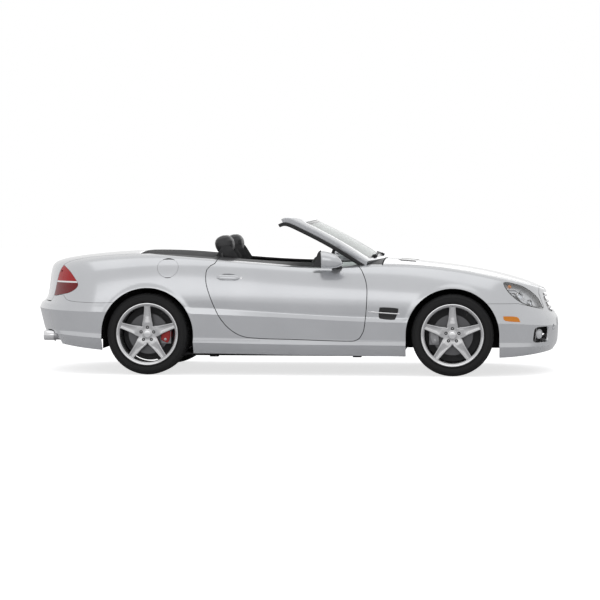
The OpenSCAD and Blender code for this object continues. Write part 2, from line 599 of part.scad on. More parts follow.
// ---- Mirrors and handles --------------------------------------------------------------------
mirror_centre = [352, 925, 957];
module door_mirror(side) color(paint) on_side(side) one_mesh() difference() {
  union() {
    hull() {
      for (y = [-42, 40]) translate([place_x(mirror_centre[0]) - y / 6, -place_y(mirror_centre[1]) + y, place_z(mirror_centre[2])])
        scale([1.05, 0.75, 0.85]) sphere(r = 86, $fn = 24);
      translate([place_x(mirror_centre[0]) - 85, -place_y(mirror_centre[1]), place_z(mirror_centre[2])])
        cube([6, 168, 120], center = true);
    }
    hull() {
      translate([place_x(400), -place_y(790), place_z(900)]) sphere(r = 30, $fn = 16);
      translate([place_x(375), -place_y(870), place_z(925)]) sphere(r = 28, $fn = 16);
    }
  }
  outer_body();
}
module door_handle(side) color(paint) on_side(side) one_mesh() difference() {
  hull() {
    translate([place_x(-590), -place_y(862), place_z(812)]) sphere(r = 16, $fn = 16);
    translate([place_x(-410), -place_y(862), place_z(808)]) sphere(r = 16, $fn = 16);
    translate([place_x(-590), -place_y(888), place_z(812)]) sphere(r = 12, $fn = 16);
    translate([place_x(-410), -place_y(888), place_z(808)]) sphere(r = 12, $fn = 16);
  }
  outer_body();
}

// ---- Wheels, drawn with the wheel's middle at the origin and its outer face towards -Y --------
module at_wheel(x, y, side) translate([x, side * y, tyre_r]) on_side(side) children();
module tyre(w) rotate([90, 0, 0]) rotate_extrude($fn = 96) polygon([
  [rim_d / 2 + 0.3, -w / 2 + 16], [rim_d / 2 + 6, -w / 2], [tyre_r - 30, -w / 2 - 0], [tyre_r - 8, -w / 2 + 18],
  [tyre_r, -w / 2 + 40], [tyre_r, w / 2 - 40], [tyre_r - 8, w / 2 - 18], [tyre_r - 30, w / 2],
  [rim_d / 2 + 6, w / 2], [rim_d / 2 + 0.3, w / 2 - 16]]);
hub_r = 78;
spoke_w = 60;
spoke_t = 34;
barrel_t = 10;
rim_lip = 6;
face_out = 18;
hub_depth = 62;
cap_wall = 21;
bolt_hole_r = 7.5;
bolt_turns = [0 : 72 : 288];
disc_t = 30;
disc_hub_t = 40;
function disc_y(w) = -w / 2 + face_out + hub_depth;
module rim(w) difference() {
  union() {
    rotate([90, 0, 0]) rotate_extrude($fn = 96) polygon([
      [rim_d / 2 - barrel_t - rim_lip, -w / 2 + rim_lip], [rim_d / 2, -w / 2 + rim_lip - 2],
      [rim_d / 2, w / 2 - rim_lip + 2], [rim_d / 2 - barrel_t - rim_lip, w / 2 - rim_lip]]);
    translate([0, disc_y(w), 0]) rotate([90, 0, 0]) cylinder(r = hub_r, h = hub_depth);
    for (turn = [0 : 72 : 288]) rotate([0, turn, 0])
      translate([-spoke_w / 2, -w / 2 + face_out, hub_r - 12])
        cube([spoke_w, spoke_t, rim_d / 2 - barrel_t - hub_r + 12]);
  }
  translate([0, disc_y(w) + 1, 0]) rotate([90, 0, 0])
    cylinder(r = spindle_r + spindle_clear, h = hub_depth + 1 - cap_wall);
  for (turn = bolt_turns) rotate([0, turn, 0]) translate([0, 0, bolt_pcd / 2]) rotate([90, 0, 0])
    cylinder(r = bolt_hole_r, h = 2 * w, center = true);
}
module brake_disc(w) translate([0, disc_y(w), 0]) rotate([-90, 0, 0]) difference() {
  union() {
    cylinder(r = hub_r, h = disc_hub_t);
    translate([0, 0, disc_hub_t - disc_t]) cylinder(r = disc_d / 2, h = disc_t, $fn = 72);
  }
  translate([0, 0, -1]) cylinder(r = spindle_r + spindle_clear, h = disc_hub_t + 2);
  for (turn = bolt_turns) rotate([0, 0, turn]) translate([0, bolt_pcd / 2, -1])
    cylinder(r = bolt_hole_r, h = disc_hub_t + 2);
}

// ---- Hubs, brakes and suspension ------------------------------------------------------------
hub_gap = 4;
housing_r = 62;
housing_t = 56;
calliper_wall = 18;
calliper_clear = 4;
// Calliper over the disc, behind the axle when toward is -1 and ahead of it when it is 1.
module calliper(w, toward) difference() {
  reach = disc_d / 2 + calliper_clear + calliper_wall;
  rotor = disc_y(w) + disc_hub_t - disc_t;
  mirror([toward < 0 ? 1 : 0, 0, 0])
    translate([disc_d / 2 - 58, rotor - calliper_clear - calliper_wall, -80])
      cube([reach - disc_d / 2 + 58, disc_t + 2 * calliper_clear + calliper_wall + 30, 160]);
  translate([0, rotor + disc_t + calliper_clear, 0]) rotate([90, 0, 0])
    cylinder(r = disc_d / 2 + calliper_clear, h = disc_t + 2 * calliper_clear, $fn = 72);
  translate([0, w, 0]) rotate([90, 0, 0]) cylinder(r = disc_d / 2 - 58, h = 2 * w);
}
// Bearing housing with its spindle and the calliper's bracket.
module hub_carrier(w, toward) {
  back = disc_y(w) + disc_hub_t + hub_gap;
  translate([0, back + 1, 0]) rotate([90, 0, 0])
    cylinder(r = spindle_r, h = disc_hub_t + hub_gap + 1 + hub_depth - cap_wall - 4);
  translate([0, back + housing_t, 0]) rotate([90, 0, 0]) cylinder(r = housing_r, h = housing_t);
  translate([toward < 0 ? -disc_d / 2 + 40 : 0, back, -40]) cube([disc_d / 2 - 40, 22, 80]);
  calliper(w, toward);
}
ball_drop = 150;
ball_r = 10;
arm_t = 24;
arm_w = 44;
seat_gap = 0.3;
plate_half = 28;
module front_knuckle(side) color(metal) at_wheel(front_axle, front_y, side) {
  back = disc_y(front_tyre_w) + disc_hub_t + hub_gap;
  hub_carrier(front_tyre_w, -1);
  translate([-plate_half, back + 8, -ball_drop]) cube([2 * plate_half, 40, 2 * ball_drop]);
  for (end = [-1, 1]) translate([0, steer_inset, end * (ball_drop + arm_t / 2)])
    cylinder(r = ball_r, h = arm_t + 2, center = true);
}
module rear_hub_carriers() color(metal) for (side = [-1, 1])
  at_wheel(rear_axle, rear_y, side) hub_carrier(rear_tyre_w, 1);
// Flat arm from inner_y to the ball pin, with an eye round the pin.
module ball_arm(z, inner_y) translate([front_axle, 0, z]) difference() {
  union() {
    translate([0, -steer_y, 0]) cylinder(r = arm_w / 2, h = arm_t);
    linear_extrude(arm_t) polygon([[-arm_w / 2, -steer_y], [arm_w / 2, -steer_y], [90, -inner_y], [-90, -inner_y]]);
  }
  translate([0, -steer_y, -1]) cylinder(r = ball_r + spindle_clear, h = arm_t + 2);
}
subframe_z = [190, 260];
rear_subframe_z = [230, 300];
subframe_half = 90;
damper_y = 560;
damper_r = 28;
module front_subframe() color(metal) {
  span([front_axle - subframe_half, -rail_in, subframe_z[0] - 30], [front_axle + subframe_half, rail_in, subframe_z[1]]);
  both() {
    span([front_axle - subframe_half, -rail_out, subframe_z[0] - 30],
      [front_axle + subframe_half, -rail_in, front_rail_z[0]]);
    ball_arm(tyre_r - ball_drop - seat_gap - arm_t, rail_out);
    ball_arm(tyre_r + ball_drop + seat_gap, rail_out);
    translate([front_axle, -damper_y, tyre_r - ball_drop - seat_gap]) cylinder(r = damper_r, h = 300);
    translate([front_axle, -damper_y, tyre_r]) cylinder(r = damper_r - 12, h = tower_z - tyre_r);
  }
}
shaft_r = 17;
module rear_subframe() color(metal) {
  carrier_in = rear_y - disc_y(rear_tyre_w) - disc_hub_t - hub_gap - housing_t;
  span([rear_axle - 150, -rail_in, rear_subframe_z[0]], [rear_axle + 150, rail_in, rear_subframe_z[1]]);
  span([rear_axle - 130, -130, rear_subframe_z[1]], [rear_axle + 130, 130, tyre_r + 70]);
  both() {
    span([rear_axle - 60, -rail_out, rear_subframe_z[0]], [rear_axle + 60, -rail_in, rear_rail_z[0]]);
    span([rear_axle - 35, -carrier_in, tyre_r - 52], [rear_axle + 35, -rail_out, tyre_r - 32]);
    translate([rear_axle, -130, tyre_r]) rotate([90, 0, 0]) cylinder(r = shaft_r, h = carrier_in - 130);
  }
}

// ---- Exhaust and engine -----------------------------------------------------------------------
tip_y = 540;
tip_spread = 46;
tip_z = 312;
tip_r = 38;
pipe_r = 24;
pipe_y = 90;
silencer_x = -1965;
silencer_z = [255, rear_rail_z[0] - seat_gap];
module pipe(from, to, r) {
  run = to - from;
  translate(from) rotate([0, atan2(norm([run[0], run[1]]), run[2]), atan2(run[1], run[0])])
    cylinder(r = r, h = norm(run));
}
module exhaust() color(metal) one_mesh() {
  span([place_x(silencer_x), -585, silencer_z[0]], [place_x(-1700), 585, silencer_z[1]]);
  both() {
    for (y = [-tip_y - tip_spread, -tip_y + tip_spread]) translate([place_x(-2158), y, tip_z]) rotate([0, 90, 0])
      difference() {
        cylinder(r = tip_r, h = place_x(silencer_x) - place_x(-2158) + 1);
        translate([0, 0, -1]) cylinder(r = tip_r - 4, h = 70);
      }
    route = [[place_x(-1710), -pipe_y, 290], [place_x(-1480), -pipe_y, 140], [engine_x[0] - pipe_r - seat_gap, -pipe_y, 140],
      [engine_x[0] - pipe_r - seat_gap, -pipe_y, 300]];
    for (i = [0 : 2]) pipe(route[i], route[i + 1], pipe_r, $fn = 12);
    for (i = [1, 2]) translate(route[i]) sphere(r = pipe_r, $fn = 12);
  }
}
engine_x = [900, 1650];
module engine() color(metal) span([engine_x[0], -250, subframe_z[1]], [engine_x[1], 250, 800]);

floor_pan();
side_sills();
wheel_liners();
front_bumper();
rear_bumper();
front_fender(1);  // front_fender_left
front_fender(-1);  // front_fender_right
rear_quarter(1);  // rear_quarter_left
rear_quarter(-1);  // rear_quarter_right
hood();
trunk_lid();
door(1);  // door_left
door(-1);  // door_right
fuel_flap();
rear_deck();
windscreen_frame();
windscreen_glass();
dashboard();
steering_wheel();
centre_console();
seat(1);  // seat_left
seat(-1);  // seat_right
interior_mirror();
headlamps();
tail_lamps();
fog_lamps();
grille();
door_mirror(1);  // mirror_left
door_mirror(-1);  // mirror_right
door_handle(1);  // door_handle_left
door_handle(-1);  // door_handle_right
wipers();
color(black) at_wheel(front_axle, front_y, 1) tyre(front_tyre_w);  // tyre_front_left
color(black) at_wheel(front_axle, front_y, -1) tyre(front_tyre_w);  // tyre_front_right
color(black) at_wheel(rear_axle, rear_y, 1) tyre(rear_tyre_w);  // tyre_rear_left
color(black) at_wheel(rear_axle, rear_y, -1) tyre(rear_tyre_w);  // tyre_rear_right
color(paint) at_wheel(front_axle, front_y, 1) rim(front_tyre_w);  // rim_front_left
color(paint) at_wheel(front_axle, front_y, -1) rim(front_tyre_w);  // rim_front_right
color(paint) at_wheel(rear_axle, rear_y, 1) rim(rear_tyre_w);  // rim_rear_left
color(paint) at_wheel(rear_axle, rear_y, -1) rim(rear_tyre_w);  // rim_rear_right
color(metal) at_wheel(front_axle, front_y, 1) brake_disc(front_tyre_w);  // brake_disc_front_left
color(metal) at_wheel(front_axle, front_y, -1) brake_disc(front_tyre_w);  // brake_disc_front_right
color(metal) at_wheel(rear_axle, rear_y, 1) brake_disc(rear_tyre_w);  // brake_disc_rear_left
color(metal) at_wheel(rear_axle, rear_y, -1) brake_disc(rear_tyre_w);  // brake_disc_rear_right
front_knuckle(1);  // front_knuckle_left
front_knuckle(-1);  // front_knuckle_right
rear_hub_carriers();
front_subframe();
rear_subframe();
exhaust();
engine();
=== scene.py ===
# A two-seat open car: the looks of each piece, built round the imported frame.
import math
import bmesh
import bpy
import numpy as np
from mathutils import Matrix, Vector
from mathutils.bvhtree import BVHTree


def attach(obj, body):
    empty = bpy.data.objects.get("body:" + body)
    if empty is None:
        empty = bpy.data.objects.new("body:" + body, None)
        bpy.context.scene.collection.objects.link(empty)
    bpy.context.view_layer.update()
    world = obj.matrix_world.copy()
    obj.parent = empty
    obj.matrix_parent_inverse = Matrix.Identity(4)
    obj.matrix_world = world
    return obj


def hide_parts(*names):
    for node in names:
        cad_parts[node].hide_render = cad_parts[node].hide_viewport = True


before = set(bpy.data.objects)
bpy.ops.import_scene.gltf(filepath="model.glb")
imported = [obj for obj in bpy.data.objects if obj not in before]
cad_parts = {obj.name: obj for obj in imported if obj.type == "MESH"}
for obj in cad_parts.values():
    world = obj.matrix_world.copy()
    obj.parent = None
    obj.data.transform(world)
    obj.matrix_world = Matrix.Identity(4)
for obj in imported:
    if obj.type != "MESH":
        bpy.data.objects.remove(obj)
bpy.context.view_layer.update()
MM = 0.001
FRONT_AXLE, REAR_AXLE, WHEEL_R = 1.355, -1.185, 0.341
FRONT_Y, REAR_Y = 0.7685, 0.7535
ARCH_R = 0.386

SEAT_Y = 0.370
COLUMN_AT, COLUMN_DOWN = Vector((0.060, 0.370, 0.790)), Vector((0.9135, 0, -0.4067))
COLUMN_LEAN = math.radians(-66)
CAMERA_FAR, CAMERA_HIGH, CAMERA_TURN, CAMERA_LENS = 20, 1.377, math.radians(5), 138.5
CAMERA_AIM = (0.0173, 0.0015, 0.595)
GLOSSY_SKY, DIFFUSE_SKY = 0.86, 0.55
TOP_ROW = 21.5

# ---- Camera, floor and lights ---------------------------------------------------------------
def aim(place, target):
    return (Vector(place) - Vector(target)).to_track_quat("Z", "Y")


camera = bpy.data.objects.new("camera", bpy.data.cameras.new("camera"))
camera.location = (CAMERA_FAR * math.sin(CAMERA_TURN), -CAMERA_FAR * math.cos(CAMERA_TURN), CAMERA_HIGH)
camera.rotation_euler = aim(camera.location, CAMERA_AIM).to_euler()
camera.data.lens = CAMERA_LENS
camera.data.sensor_width = 36
bpy.context.scene.collection.objects.link(camera)
bpy.context.scene.camera = camera
bpy.context.scene.view_settings.view_transform = "Standard"


def node_set(owner):
    owner.use_nodes = True
    tree = owner.node_tree
    tree.nodes.clear()
    return tree


class Nodes:
    """Short names for adding and joining shader nodes."""

    def __init__(self, tree):
        self.tree = tree

    def add(self, kind, inputs=None, **settings):
        node = self.tree.nodes.new("ShaderNode" + kind)
        for key, value in settings.items():
            setattr(node, key, value)
        for key, value in (inputs or {}).items():
            if isinstance(value, bpy.types.NodeSocket):
                self.tree.links.new(value, node.inputs[key])
            else:
                node.inputs[key].default_value = value
        return node

    def math(self, operation, a, b=0.0, c=0.0):
        return self.add("Math", {0: a, 1: b, 2: c}, operation=operation).outputs[0]


world = bpy.data.worlds.new("studio")
bpy.context.scene.world = world
n = Nodes(node_set(world))
path = n.add("LightPath").outputs
seen = n.math("MAXIMUM", path["Is Camera Ray"], path["Is Transmission Ray"])
mirrored_sky = n.math("MULTIPLY", path["Is Glossy Ray"], GLOSSY_SKY - DIFFUSE_SKY)
strength = n.math("ADD", n.math("ADD", n.math("MULTIPLY", seen, 1 - DIFFUSE_SKY), mirrored_sky), DIFFUSE_SKY)
sky = n.add("Background", {"Color": (1, 1, 1, 1), "Strength": strength})
n.add("OutputWorld", {"Surface": sky.outputs[0]})


def lamp(name, place, target, size, power):
    light = bpy.data.lights.new(name, "AREA")
    light.shape = "RECTANGLE"
    light.size, light.size_y = size
    light.energy = power
    thing = bpy.data.objects.new(name, light)
    thing.location = place
    thing.rotation_euler = aim(place, target).to_euler()
    bpy.context.scene.collection.objects.link(thing)


lamp("over_car", (0.0, -0.5, 6.0), (0, 0, 0.5), (9, 6), 70)
lamp("right_side", (-1.0, -9.0, 3.2), (0, 0, 0.6), (8, 3), 45)
lamp("left_side", (1.0, 9.0, 3.2), (0, 0, 0.6), (8, 3), 40)

bm = bmesh.new()
bmesh.ops.create_grid(bm, x_segments=2, y_segments=2, size=60)
floor_mesh = bpy.data.meshes.new("floor")
bm.to_mesh(floor_mesh)
bm.free()
floor = bpy.data.objects.new("floor", floor_mesh)
bpy.context.scene.collection.objects.link(floor)
floor_paint = bpy.data.materials.new("floor")
n = Nodes(node_set(floor_paint))
path = n.add("LightPath").outputs
plain = n.add("BsdfDiffuse", {"Color": (0.80, 0.80, 0.81, 1)})
lift = n.add("Emission", {"Color": (1, 1, 1, 1), "Strength": n.math("MULTIPLY", path["Is Camera Ray"], 0.72)})
both = n.add("AddShader", {0: plain.outputs[0], 1: lift.outputs[0]})
n.add("OutputMaterial", {"Surface": both.outputs[0]})
floor_mesh.materials.append(floor_paint)

# ---- Finishes -------------------------------------------------------------------------------
def finish(name, colour, metallic=0.0, roughness=0.5, **more):
    """A material with its own node tree, its nodes helper and its shader."""
    material = bpy.data.materials.new(name)
    nodes = Nodes(node_set(material))
    shader = nodes.add("BsdfPrincipled",
                       {"Base Color": (*colour, 1), "Metallic": metallic, "Roughness": roughness})
    for key, value in more.items():
        shader.inputs[key.replace("_", " ")].default_value = value
    nodes.add("OutputMaterial", {"Surface": shader.outputs[0]})
    return material, nodes, shader


def place_on(nodes, at=(0, 0, 0), turn=(0, 0, 0), scale=(1, 1, 1)):
    where = nodes.add("TexCoord").outputs["Object"]
    centred = nodes.add("VectorMath", {0: where, 1: at}, operation="SUBTRACT").outputs[0]
    return nodes.add("Mapping", {"Vector": centred, "Rotation": turn, "Scale": scale}).outputs[0]


def noise(nodes, vector, scale, detail=4, roughness=0.5):
    return nodes.add("TexNoise", {"Vector": vector, "Scale": scale, "Detail": detail,
                                  "Roughness": roughness}).outputs[0]


def link(nodes, value, shader, socket):
    nodes.tree.links.new(value, shader.inputs[socket])


def bump(nodes, shader, height, strength, distance=0.001):
    node = nodes.add("Bump", {"Height": height, "Strength": strength, "Distance": distance})
    link(nodes, node.outputs[0], shader, "Normal")


def mixed(nodes, factor, a, b):
    node = nodes.add("Mix", {"Factor": factor, "A": (*a, 1), "B": (*b, 1)}, data_type="RGBA")
    return node.outputs["Result"]


def silver_paint():
    material, nodes, shader = finish("silver_paint", (0.62, 0.63, 0.65), 0.6, 0.24, Coat_Weight=1.0,
                                     Coat_Roughness=0.04, Coat_IOR=1.5)
    where = place_on(nodes)
    flake = nodes.add("TexVoronoi", {"Vector": where, "Scale": 900.0}, feature="F1")
    soft = noise(nodes, where, 3.0, 2)
    tone = nodes.math("ADD", nodes.math("MULTIPLY", flake.outputs["Distance"], 0.25),
                      nodes.math("MULTIPLY", soft, 0.75))
    link(nodes, mixed(nodes, tone, (0.56, 0.572, 0.595), (0.68, 0.69, 0.71)), shader, "Base Color")
    link(nodes, nodes.math("ADD", nodes.math("MULTIPLY", flake.outputs["Distance"], 0.08), 0.19), shader,
         "Roughness")
    return material


def grained_black(name="grained_black", colour=(0.022, 0.022, 0.024), roughness=0.5, scale=260.0, depth=0.25):
    material, nodes, shader = finish(name, colour, 0.0, roughness)
    where = place_on(nodes)
    grain = nodes.add("TexVoronoi", {"Vector": where, "Scale": scale}, feature="DISTANCE_TO_EDGE").outputs[0]
    blotch = noise(nodes, where, 6.0, 3)
    link(nodes, mixed(nodes, blotch, tuple(c * 0.75 for c in colour), tuple(c * 1.35 for c in colour)), shader,
         "Base Color")
    link(nodes, nodes.math("ADD", nodes.math("MULTIPLY", blotch, 0.15), roughness - 0.07), shader, "Roughness")
    bump(nodes, shader, grain, depth)
    return material


def leather(name, colour, roughness=0.42):
    material, nodes, shader = finish(name, colour, 0.0, roughness)
    where = place_on(nodes)
    pebble = nodes.add("TexVoronoi", {"Vector": where, "Scale": 340.0}, feature="SMOOTH_F1").outputs["Distance"]
    crease = noise(nodes, where, 38.0, 6, 0.62)
    tone = noise(nodes, where, 5.0, 2)
    link(nodes, mixed(nodes, tone, tuple(c * 0.8 for c in colour), tuple(c * 1.3 for c in colour)), shader,
         "Base Color")
    link(nodes, nodes.math("ADD", nodes.math("MULTIPLY", crease, 0.25), roughness - 0.12), shader, "Roughness")
    bump(nodes, shader, nodes.math("ADD", nodes.math("MULTIPLY", pebble, 0.7),
                                   nodes.math("MULTIPLY", crease, 0.5)),
         0.45, 0.0007)
    shader.inputs["Sheen Weight"].default_value = 0.08
    return material


def metal(name, colour, roughness, brushed=(1, 1, 1), depth=0.05, metallic=1.0):
    material, nodes, shader = finish(name, colour, metallic, roughness)
    where = place_on(nodes, scale=brushed)
    streak = noise(nodes, where, 90.0, 5, 0.6)
    link(nodes, mixed(nodes, streak, tuple(c * 0.88 for c in colour), tuple(min(1, c * 1.1) for c in colour)),
         shader, "Base Color")
    link(nodes, nodes.math("ADD", nodes.math("MULTIPLY", streak, 0.16), roughness - 0.08), shader, "Roughness")
    bump(nodes, shader, streak, depth)
    return material


def clear(name, colour, roughness=0.0, ior=1.5):
    material, nodes, shader = finish(name, colour, 0.0, roughness, Transmission_Weight=1.0, IOR=ior)
    where = place_on(nodes)
    link(nodes, nodes.math("MULTIPLY", noise(nodes, where, 4.0, 2), 0.03), shader, "Roughness")
    return material


def window(name, tint, body=0.0):
    """Thin glass: light goes straight through, and the face still mirrors what is in front of it."""
    material = bpy.data.materials.new(name)
    nodes = Nodes(node_set(material))
    where = place_on(nodes)
    wave = noise(nodes, where, 2.5, 2)
    through = nodes.add("BsdfTransparent",
                        {"Color": mixed(nodes, wave, tint, tuple(min(1, c * 1.03) for c in tint))})
    gloss = nodes.add("BsdfGlossy", {"Color": (1, 1, 1, 1), "Roughness": 0.02})
    edge = nodes.add("LayerWeight", {"Blend": 0.5}).outputs["Facing"]
    share = nodes.math("ADD", nodes.math("MULTIPLY", nodes.math("POWER", edge, 4.0), 0.6), body)
    blend = nodes.add("MixShader", {0: share, 1: through.outputs[0], 2: gloss.outputs[0]})
    nodes.add("OutputMaterial", {"Surface": blend.outputs[0]})
    return material


PAINT = silver_paint()
BLACK = grained_black()
GLOSS_BLACK = grained_black("gloss_black", (0.012, 0.012, 0.013), 0.16, 500.0, 0.03)
RUBBER_SEAL = grained_black("rubber_seal", (0.016, 0.016, 0.017), 0.62, 700.0, 0.12)
UNDERSIDE = grained_black("coated_steel", (0.045, 0.045, 0.048), 0.58, 90.0, 0.35)
BLACK_LEATHER = leather("black_leather", (0.026, 0.026, 0.028))
ALLOY = metal("silver_alloy", (0.60, 0.60, 0.61), 0.27, (14, 14, 14), 0.01, 0.85)
BRIGHT = metal("polished_metal", (0.80, 0.80, 0.81), 0.12, (1, 1, 1), 0.01)
DISC = metal("disc_iron", (0.13, 0.13, 0.135), 0.38, (4, 6, 4), 0.04)
STEEL = metal("satin_steel", (0.42, 0.42, 0.43), 0.34, (6, 1, 1), 0.05)
DARK_CAST = metal("cast_alloy", (0.24, 0.24, 0.25), 0.5, (1, 1, 1), 0.3, 0.8)
GLASS = window("windscreen_glass", (0.66, 0.70, 0.68), 0.05)
LAMP_GLASS = window("lamp_cover", (0.97, 0.975, 0.98), 0.05)
MIRROR = metal("mirror_silver", (0.86, 0.87, 0.88), 0.09, (1, 1, 1), 0.0)


def tyre_rubber():
    material, nodes, shader = finish("tyre_rubber", (0.012, 0.012, 0.013), 0.0, 0.7, Specular_IOR_Level=0.3)
    where = place_on(nodes)
    dust = noise(nodes, where, 16.0, 5, 0.6)
    fine = noise(nodes, where, 420.0, 3)
    link(nodes, mixed(nodes, dust, (0.009, 0.009, 0.0095), (0.018, 0.018, 0.019)), shader, "Base Color")
    link(nodes, nodes.math("ADD", nodes.math("MULTIPLY", dust, 0.2), 0.58), shader, "Roughness")
    bump(nodes, shader, fine, 0.25, 0.0006)
    return material


def red_lens(name, colour, glow):
    material, nodes, shader = finish(name, colour, 0.0, 0.18, Specular_IOR_Level=0.25, Coat_Weight=0.12,
                                     Coat_Roughness=0.05)
    where = place_on(nodes, scale=(1, 1, 1))
    split = nodes.add("SeparateXYZ", {0: where}).outputs
    rib = nodes.math("PINGPONG", split["Z"], 0.004)
    ribbed = nodes.math("MULTIPLY", rib, 250.0)
    link(nodes, mixed(nodes, ribbed, tuple(c * 0.55 for c in colour),
                      tuple(min(1, c * 1.5 + 0.01) for c in colour)),
         shader, "Base Color")
    bump(nodes, shader, ribbed, 0.3, 0.001)
    shader.inputs["Emission Color"].default_value = (*colour, 1)
    shader.inputs["Emission Strength"].default_value = glow
    return material


TYRE = tyre_rubber()
RED = red_lens("red_lens", (0.34, 0.003, 0.006), 0.25)
DARK_RED = red_lens("dark_red_lens", (0.17, 0.002, 0.004), 0.14)
AMBER = red_lens("amber_lens", (0.85, 0.24, 0.02), 0.12)

# ---- Building helpers -----------------------------------------------------------------------
def put(name, bm, material, normals=True):
    """Ends a bmesh as an object at the origin."""
    if normals:
        bmesh.ops.recalc_face_normals(bm, faces=bm.faces)
    mesh = bpy.data.meshes.new(name)
    bm.to_mesh(mesh)
    bm.free()
    thing = bpy.data.objects.new(name, mesh)
    bpy.context.scene.collection.objects.link(thing)
    for m in material if isinstance(material, (list, tuple)) else [material]:
        mesh.materials.append(m)
    return thing


def around(count):
    """Evenly spaced angles of a full turn."""
    return np.linspace(0, 2 * math.pi, count + 1)[:-1]


def bent(value, power):
    """A power of a value that may be negative, with its sign."""
    return math.copysign(abs(value) ** power, value)


def smooth(thing, angle=35):
    mesh = thing.data
    mesh.shade_smooth()
    mesh.set_sharp_from_angle(angle=math.radians(angle))
    return thing


def fit(thing, body, slot=None, *nodes):
    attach(thing, body)
    if nodes:
        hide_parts(*nodes)
    return thing


def applied(thing):
    """The object with its modifiers made part of its mesh."""
    depsgraph = bpy.context.evaluated_depsgraph_get()
    mesh = bpy.data.meshes.new_from_object(thing.evaluated_get(depsgraph), preserve_all_data_layers=True,
                                           depsgraph=depsgraph)
    old = thing.data
    thing.modifiers.clear()
    thing.data = mesh
    mesh.name = thing.name
    bpy.data.meshes.remove(old)
    return thing


def drop(*things):
    for thing in things:
        bpy.data.objects.remove(thing)


def carved(name, base, cuts, material):
    """A copy of base cut by tools, each with "INTERSECT" or "DIFFERENCE". The tools are used up."""
    thing = bpy.data.objects.new(name, base.data.copy())
    bpy.context.scene.collection.objects.link(thing)
    for tool, how in cuts:
        step = thing.modifiers.new("cut", "BOOLEAN")
        step.object = tool
        step.operation = how
        step.solver = "MANIFOLD"
    applied(thing)
    drop(*[tool for tool, how in cuts])
    thing.data.materials.clear()
    thing.data.materials.append(material)
    return thing

# ---- Body surface ---------------------------------------------------------------------------
# Ten lines run round the body. Each has heights and half-widths at thirteen even stations.
LINE_Z = [
    [274, 236, 193, 180, 182, 177, 171, 168, 166, 160, 152, 152, 200],
    [345, 328, 300, 276, 272, 266, 260, 258, 257, 254, 248, 242, 238],
    [380, 362, 335, 316, 310, 304, 298, 295, 293, 290, 284, 278, 272],
    [540, 530, 524, 522, 512, 497, 483, 462, 447, 446, 446, 440, 400],
    [585, 575, 566, 566, 567, 541, 516, 496, 484, 482, 482, 478, 470],
    [612, 622, 645, 655, 648, 636, 628, 618, 610, 602, 598, 592, 520],
    [690, 712, 752, 765, 752, 742, 735, 728, 718, 706, 694, 668, 570],
    [790, 812, 852, 868, 858, 842, 828, 815, 806, 798, 778, 730, 625],
    [880, 905, 938, 952, 938, 916, 892, 875, 888, 888, 850, 772, 672],
    [930, 962, 1002, 1012, 975, 938, 908, 893, 930, 922, 876, 790, 690]]
LINE_W = [
    [800, 830, 845, 850, 850, 850, 850, 850, 850, 850, 850, 840, 790],
    [862, 893, 903, 905, 903, 902, 902, 902, 902, 904, 904, 890, 850],
    [846, 878, 890, 888, 880, 878, 878, 880, 884, 890, 892, 878, 838],
    [862, 896, 911, 911, 909, 907, 906, 906, 908, 911, 912, 897, 860],
    [852, 886, 909, 909, 899, 894, 893, 893, 896, 902, 906, 890, 850],
    [838, 876, 906, 908, 903, 899, 897, 898, 902, 906, 906, 884, 838],
    [810, 850, 886, 893, 888, 884, 882, 882, 885, 888, 884, 850, 800],
    [776, 822, 858, 870, 866, 858, 853, 850, 848, 846, 838, 810, 760],
    [716, 764, 808, 832, 830, 822, 818, 816, 806, 792, 775, 755, 710],
    [620, 645, 680, 728, 772, 786, 792, 785, 735, 705, 680, 660, 620]]
LINE_NOSE = [2200, 2228, 2238, 2245, 2236, 2196, 2172, 2150, 2136, 2118]
LINE_TAIL = [2130, 2190, 2205, 2245, 2225, 2175, 2158, 2148, 2142, 2098]
MIDDLE_Z = [925, 993, 1032, 1040, 1010, 975, 960, 968, 974, 939, 898, 830, 660]
# A line named three times running is a crisp edge. From 10 on, lines cross the top.
ROWS = [0, 0, 0, 1, 1, 1, 2, 2, 3, 3, 3, 4, 4, 5, 6, 7, 8, 9, 10, 11, 12, 13, 14, 15]
TOP_SHARE = [0.78, 0.52, 0.26, 0.03, -0.03, -0.26]


def spline(a, b, c, d, t):
    return (a * (1 - t) ** 3 + b * (3 * t ** 3 - 6 * t * t + 4) + c * (-3 * t ** 3 + 3 * t * t + 3 * t + 1)
            + d * t ** 3) / 6


def guide(values, x):
    k = np.array([2 * values[0] - values[1], *values, 2 * values[12] - values[11]], float)
    u = (x + 2245) / 4490 * 12
    i = np.clip(np.floor(u), 0, 11).astype(int)
    return spline(k[i], k[i + 1], k[i + 2], k[i + 3], u - i)


def top_height(x, y, inset):
    share = np.minimum(1, (np.abs(y) / guide(LINE_W[9], x)) ** 2.4)
    return guide(MIDDLE_Z, x) * (1 - share) + guide(LINE_Z[9], x) * share - inset


def line_point(k, s, inset):
    ahead, behind = np.clip(1 - s, 0, 1), np.clip(s - 2, 0, 1)
    x = np.where(s < 1, 1450 + (LINE_NOSE[k] - inset - 1450) * np.sin(np.pi / 2 * ahead) ** (2 / 2.8),
                 np.where(s <= 2, 1450 - (s - 1) * 3050,
                          -1600 - (LINE_TAIL[k] - inset - 1600) * np.sin(np.pi / 2 * behind) ** (2 / 2.2)))
    closing = np.where(s < 1, np.maximum(0, np.cos(np.pi / 2 * ahead)) ** (2 / 2.2),
                       np.maximum(0, np.cos(np.pi / 2 * behind)) ** (2 / 1.9))
    y = (guide(LINE_W[k], x) - inset) * closing
    z = top_height(x, y, inset) if k == 9 else guide(LINE_Z[k], x) - inset * max(0, (k - 5) / 4)
    return np.stack([x, y, z], -1)


